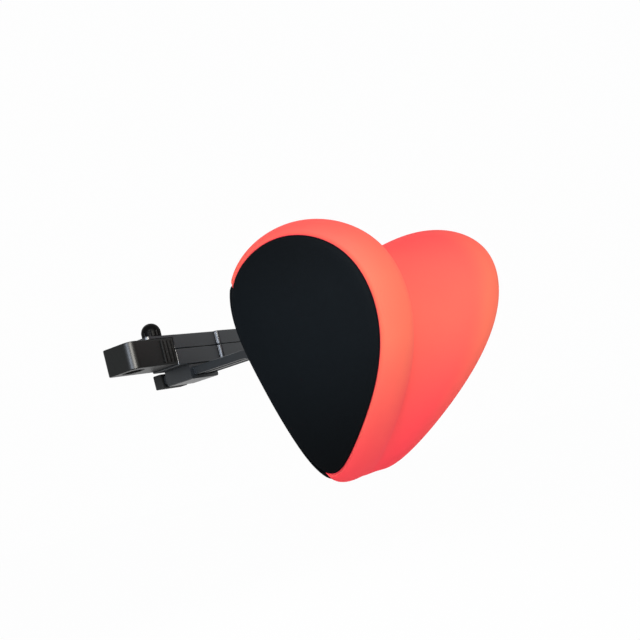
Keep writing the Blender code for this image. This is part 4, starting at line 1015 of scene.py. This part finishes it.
def knob_profile(base, top):
    """Down the wall of the stud's hole, out under the skirt, up it and over the dome."""
    waist = top - KNOB_RADIUS
    hole = [(0, base + STUD_ROOM), (STUD_HOLE, base + STUD_ROOM), (STUD_HOLE, base)]
    skirt = [(KNOB_RADIUS - SKIRT_ROUND * (1 - math.sin(a)), base + SKIRT_ROUND * (1 - math.cos(a)))
             for a in np.linspace(0, np.pi / 2, ROUND_STEPS)]
    wall = [(KNOB_RADIUS, height) for height in np.linspace(base + SKIRT_ROUND, waist, ROUND_STEPS)[1:-1]]
    dome = [(KNOB_RADIUS * math.cos(a), waist + KNOB_RADIUS * math.sin(a))
            for a in np.linspace(0, np.pi / 2, DOME_STEPS)[:-1]]
    return hole + skirt + wall + dome + [(0, top)]


def flutes(radius, height, angles):
    """Each flute takes sqrt(r^2 - s^2) less its offset from the skirt, where s is the arc to its middle."""
    pitch = 2 * np.pi / KNOB_FLUTES
    arc_to = (np.mod(angles + pitch / 2, pitch) - pitch / 2) * KNOB_RADIUS
    bite = np.maximum(np.sqrt(np.maximum(FLUTE_RADIUS ** 2 - arc_to ** 2, 0)) - FLUTE_OUT, 0)
    fade = 1 - step_up(height - (knob_high.z - KNOB_RADIUS), FLUTE_FADE)
    return radius - bite * fade * (radius > STUD_HOLE + MM), height


turned("domed_knob", "lock_knob", knob_profile(knob_low.z, knob_high.z), "Z",
       ((knob_low.x + knob_high.x) / 2, (knob_low.y + knob_high.y) / 2),
       KNOB_COLUMNS, knob_nylon, "knob_plastic", flutes)

# %% [markdown]
# ## Zip
# A nylon coil zip closes the back panel: two woven tapes, a coil sewn on each, and stops at
# both ends. A coil's loops look like rounded bars that mesh at the middle, so one bar is
# worked out and laid down once for each loop, half a pitch apart on the two sides.

# %% Zip
ZIP_PITCH = 1.25 * MM
TAPE_THICK = 0.45 * MM
TAPE_RINGS = 61
COIL_END = 3.0 * MM                # tape left without coil at each end
COIL_OVERLAP = 0.35 * MM           # how far each side's loops reach past the middle
BAR_SIZE = (0.85 * MM, 0.9 * MM, 2.9 * MM)
BAR_LIFT = 0.4 * MM                # a bar's middle above the tape
BAR_RINGS = 7
BAR_SIDES = 10
BAR_BLUNT = 0.02                   # keeps a bar's end rings from closing to a point
STOP_SIZE = (1.6 * MM, 1.0 * MM, 4.4 * MM)
STOP_INSETS = (1.5 * MM, 1.2 * MM)  # the stops' middles from the tape's two ends
WEAVE_ROUGHNESS = 0.7
WEAVE_SHEEN = 0.05
WEAVE_RELIEF = 0.08 * MM

zip_low, zip_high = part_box("zip_chain")
zip_middle = (zip_low.z + zip_high.z) / 2


def bars(places, size, axis_turned=False):
    """Rounded bars at places: rings of a superellipsoid whose radius is about (1 - t^4)^(1/4) along it."""
    along = -np.cos(np.linspace(0, np.pi, BAR_RINGS))
    radius = (1 - along ** 4 * (1 - BAR_BLUNT)) ** 0.25
    angles = np.linspace(0, 2 * np.pi, BAR_SIDES, endpoint=False)
    bar = np.stack([np.broadcast_to(radius[:, None] * np.cos(angles), (BAR_RINGS, BAR_SIDES)) * size[0],
                    radius[:, None] * np.sin(angles) * size[1],
                    np.broadcast_to(along[:, None] * size[2], (BAR_RINGS, BAR_SIDES))], -1) / 2
    bar = bar.reshape(-1, 3)
    if axis_turned:
        bar = bar[:, [2, 1, 0]] * (1, 1, -1)
    points = np.asarray(places)[:, None, :] + bar[None]
    faces = []
    for number in range(len(points)):
        faces += tube_faces(BAR_RINGS, BAR_SIDES, False, start=number * len(bar))
    return points, faces


def woven(name, dark, light, pitch):
    """Plain woven polyester: sines of both cloth directions make its small pillows, with painted light on
    their crowns and painted shade in their hollows.
    """
    material, tree, shader = finish_of(name, light, WEAVE_ROUGHNESS, Sheen_Weight=WEAVE_SHEEN)
    place = add(tree, "ShaderNodeTexCoord")
    axes = add(tree, "ShaderNodeSeparateXYZ", Vector=place.outputs["Object"])
    waves = []
    for letter in "XZ":
        turns = add(tree, "ShaderNodeMath", {"operation": "MULTIPLY"},
                    i0=axes.outputs[letter], i1=2 * math.pi / pitch)
        waves.append(add(tree, "ShaderNodeMath", {"operation": "SINE"}, i0=turns.outputs[0]).outputs[0])
    height = add(tree, "ShaderNodeMath", {"operation": "MULTIPLY"}, i0=waves[0], i1=waves[1])
    bump = add(tree, "ShaderNodeBump", Height=height.outputs[0], Distance=WEAVE_RELIEF, Strength=1.0)
    tree.links.new(bump.outputs["Normal"], shader.inputs["Normal"])
    # painted shade in the weave's hollows and painted light on its crowns
    tone = add(tree, "ShaderNodeMix", {"data_type": "RGBA"}, Factor=height.outputs[0],
               i6=linear(dark), i7=linear(light))
    tree.links.new(tone.outputs[2], shader.inputs["Base Color"])
    return material


def zip_tapes():
    """The two tapes as one flat strip, since they lie edge to edge under the closed coil."""
    along = np.linspace(zip_low.x, zip_high.x, TAPE_RINGS)
    depth = zip_low.y + TAPE_THICK / 2
    line = np.stack([along, np.full(TAPE_RINGS, depth), np.full(TAPE_RINGS, zip_middle)], 1)
    strip = ribbon(line, np.array((0, 0, -1.0)), np.array((0, 1.0, 0)),
                   (zip_high.z - zip_low.z) / 2, -TAPE_THICK / 2, TAPE_THICK / 2)
    faces = tube_faces(TAPE_RINGS, 4, False)
    zip_tape = new_piece("zip_tapes", strip, faces, zip_weave, "pillow", "zip_tape")
    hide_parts("zip_chain")


def coil_places():
    """Middles of the coil's loops: one row on each side, half a pitch apart along the zip."""
    count = int((zip_high.x - zip_low.x - 2 * COIL_END) / ZIP_PITCH)
    return [(zip_low.x + COIL_END + ZIP_PITCH * (number + side / 4), zip_low.y + TAPE_THICK + BAR_LIFT,
             zip_middle + side * (BAR_SIZE[2] / 2 - COIL_OVERLAP))
            for side in (1, -1) for number in range(count)]


zip_weave = woven("black_polyester_tape", "#0A0B0C", "#1B1D20", 0.8 * MM)
coil_nylon = mottled("nylon_zip_coil", "#101113", "#1B1D1F", 0.35, 0.4, 0.4 * MM, 0.01 * MM, 4 * MM)
zip_tapes()
new_piece("zip_coil", *bars(coil_places(), BAR_SIZE), coil_nylon, "pillow", "zip_tape")
stop_places = [(end, zip_low.y + TAPE_THICK + BAR_LIFT, zip_middle)
               for end in (zip_low.x + STOP_INSETS[0], zip_high.x - STOP_INSETS[1])]
new_piece("zip_stops", *bars(stop_places, STOP_SIZE), black_enamel, "pillow", "zip_metal")

# %% [markdown]
# ## Stitches
# The zip is held by one row of lockstitch on each side and a bar across each end. A stitch is
# one short rounded length of thread, half sunk in the cloth.

# %% Stitches
STITCH_PITCH = 3.0 * MM
STITCH_SIZE = (0.38 * MM, 0.34 * MM, 2.3 * MM)
STITCH_OUT = 1.9 * MM              # row to the edge of the chain
STITCH_END = 2.2 * MM              # end rows to the ends of the chain
STITCH_PROUD = 0.05 * MM           # how far a stitch's middle lies outside the cloth


def stitch_rows():
    """Two rows along the zip and a short one across each end, as places for the thread's bars."""
    left, right = zip_high.x + STITCH_END, zip_low.x - STITCH_END
    rise = zip_high.z - zip_middle + STITCH_OUT
    depth = BACK_Y + STITCH_PROUD
    count = round((left - right) / STITCH_PITCH)
    spots = right + (np.arange(count) + 0.5) * (left - right) / count
    rows = [(spot, depth, zip_middle + side * rise) for side in (1, -1) for spot in spots]
    across = max(1, round(2 * rise / STITCH_PITCH))
    ends = [(end, depth, zip_middle - rise + (number + 0.5) * 2 * rise / across)
            for end in (left, right) for number in range(across)]
    return rows, ends


def stitches():
    """All stitches as one piece: bars along the rows, and bars turned across for the ends."""
    rows, ends = stitch_rows()
    along, along_faces = bars(rows, STITCH_SIZE, axis_turned=True)
    across, across_faces = bars(ends, STITCH_SIZE)
    offset = along.shape[0] * along.shape[1]
    faces = along_faces + [[corner + offset for corner in face] for face in across_faces]
    new_piece("zip_stitches", np.concatenate([along, across]), faces, thread, "pillow", "black_cloth")


thread = mottled("black_polyester_thread", "#15171A", "#2A2E33", 0.5, 0.35, 0.25 * MM, 0.03 * MM, 2 * MM)
stitches()

# %% [markdown]
# ## Camera
# The photograph looks up at the pillow a little, from the front and from its -X side. The
# camera's turn and tilt about the object were worked out from the outlines of the cover and
# the clamp, and the roll is the lean of the clamp's bores against the picture's edge.

# %% Camera
AIM = Vector((0, -190.5 * MM, -29 * MM))
CAMERA_AZIMUTH = math.radians(-59.5)
CAMERA_ELEVATION = math.radians(-6.5)
CAMERA_ROLL = math.radians(15.2)
CAMERA_AWAY = 769 * MM
CAMERA_SIDE = 50.5 * MM            # the aim stands this far right of the picture's middle
CAMERA_UP = -14.7 * MM
PICTURE_WIDTH = 640
FOCAL_PIXELS = 1000


def camera_axes():
    """The camera's right, up and back directions, rolled about its line of sight."""
    turn, rise = CAMERA_AZIMUTH, CAMERA_ELEVATION
    back = Vector((math.sin(turn) * math.cos(rise), -math.cos(turn) * math.cos(rise), math.sin(rise)))
    right = Vector((0, 0, 1)).cross(back).normalized()
    up = back.cross(right)
    tilt = (math.cos(CAMERA_ROLL), math.sin(CAMERA_ROLL))
    return right * tilt[0] - up * tilt[1], right * tilt[1] + up * tilt[0], back


def set_camera():
    """The camera at its place, with a lens that gives the photograph's scale."""
    right, up, back = camera_axes()
    place = AIM + back * CAMERA_AWAY - right * CAMERA_SIDE - up * CAMERA_UP
    lens = bpy.data.cameras.new("camera")
    lens.lens = FOCAL_PIXELS * lens.sensor_width / PICTURE_WIDTH
    camera = placed("camera", lens)
    camera.matrix_world = Matrix.Translation(place) @ Matrix((right, up, back)).transposed().to_4x4()
    bpy.context.scene.camera = camera
    print("camera at", [round(v, 3) for v in place], "lens", round(lens.lens, 1))


set_camera()

# %% [markdown]
# ## Studio
# A white room with soft light: a pale floor well below the pillow, which hangs from its clamp, a
# tall window of light ahead of it and to its right, and weaker lamps beside and behind it. The
# real clamp's rounded corners mirror a bright window. Two strips of light stand for it that show
# in reflections only, so that the cloth doesn't get lighter with them.

# %% Studio
FLOOR_Z = -420 * MM
FLOOR_REACH = 8.0
PLAIN_WHITE = 0.97                 # how plainly white the floor and the backdrop look
WORLD_LIGHT = 0.62
LAMPS = (                          # name, place, width, height, watts, colour, in reflections only
    ("window_lamp", (-0.85, -1.25, 0.50), 0.6, 1.1, 13, "#FFFFFF", False),
    ("side_lamp", (-1.3, -0.1, 0.1), 0.7, 0.7, 3, "#F2F7FF", False),
    ("rear_lamp", (0.9, 1.1, 0.8), 0.9, 0.9, 8, "#FFFFFF", False),
    ("warm_strip", (-0.72, -1.13, 0.15), 0.40, 0.4, 48, "#FFFBF2", True),
    ("cool_strip", (-1.29, -0.50, 0.15), 0.35, 0.4, 32, "#E2EDFF", True))


def lamp(name, spot, width, height, watts, colour, gloss_only):
    """A rectangular soft lamp that looks at the pillow; a gloss_only one shows in reflections alone."""
    data = bpy.data.lights.new(name, "AREA")
    data.shape = "RECTANGLE"
    data.size = width
    data.size_y = height
    data.energy = watts
    data.color = linear(colour)[:3]
    light = placed(name, data)
    light.location = spot
    light.rotation_euler = (AIM - Vector(spot)).to_track_quat("-Z", "Y").to_euler()
    light.visible_diffuse = not gloss_only


def plain_where_seen(tree, lit, output):
    """Mixes plain white over the lit look for rays from the camera, off gloss or through glass."""
    rays = add(tree, "ShaderNodeLightPath").outputs
    clear = add(tree, "ShaderNodeMath", {"operation": "MAXIMUM"},
                i0=rays["Is Camera Ray"], i1=rays["Is Transmission Ray"])
    seen = add(tree, "ShaderNodeMath", {"operation": "MAXIMUM"},
               i0=clear.outputs[0], i1=rays["Is Glossy Ray"])
    share = add(tree, "ShaderNodeMath", {"operation": "MULTIPLY"}, i0=seen.outputs[0], i1=PLAIN_WHITE)
    kind = "ShaderNodeBackground" if output == "ShaderNodeOutputWorld" else "ShaderNodeEmission"
    white = add(tree, kind, Color=linear("#FFFFFF"), Strength=1.0)
    either = add(tree, "ShaderNodeMixShader", i0=share.outputs[0], i1=lit.outputs[0], i2=white.outputs[0])
    add(tree, output, Surface=either.outputs[0])


def room():
    """The world around the pillow: soft light for the cloth, plain white where it is seen."""
    world = bpy.data.worlds.new("white_room")
    bpy.context.scene.world = world
    world.use_nodes = True
    tree = world.node_tree
    tree.nodes.clear()
    lit = add(tree, "ShaderNodeBackground", Color=linear("#F4F7FA"), Strength=WORLD_LIGHT)
    plain_where_seen(tree, lit, "ShaderNodeOutputWorld")


def floor():
    """A matt floor that keeps the pillow's shadow and meets the backdrop without a line."""
    paint = bpy.data.materials.new("pale_floor_paint")
    paint.use_nodes = True
    tree = paint.node_tree
    tree.nodes.clear()
    lit = add(tree, "ShaderNodeBsdfDiffuse", Color=linear("#F0F0F0"))
    plain_where_seen(tree, lit, "ShaderNodeOutputMaterial")
    mesh = bpy.data.meshes.new("floor")
    corners = [(-1, -1), (1, -1), (1, 1), (-1, 1)]
    mesh.from_pydata([(x * FLOOR_REACH, y * FLOOR_REACH, FLOOR_Z) for x, y in corners], [], [(0, 1, 2, 3)])
    mesh.materials.append(paint)
    placed("floor", mesh)


room()
floor()
for row in LAMPS:
    lamp(*row)
bpy.context.scene.view_settings.view_transform = "Standard"
print("lamps:", len(LAMPS))
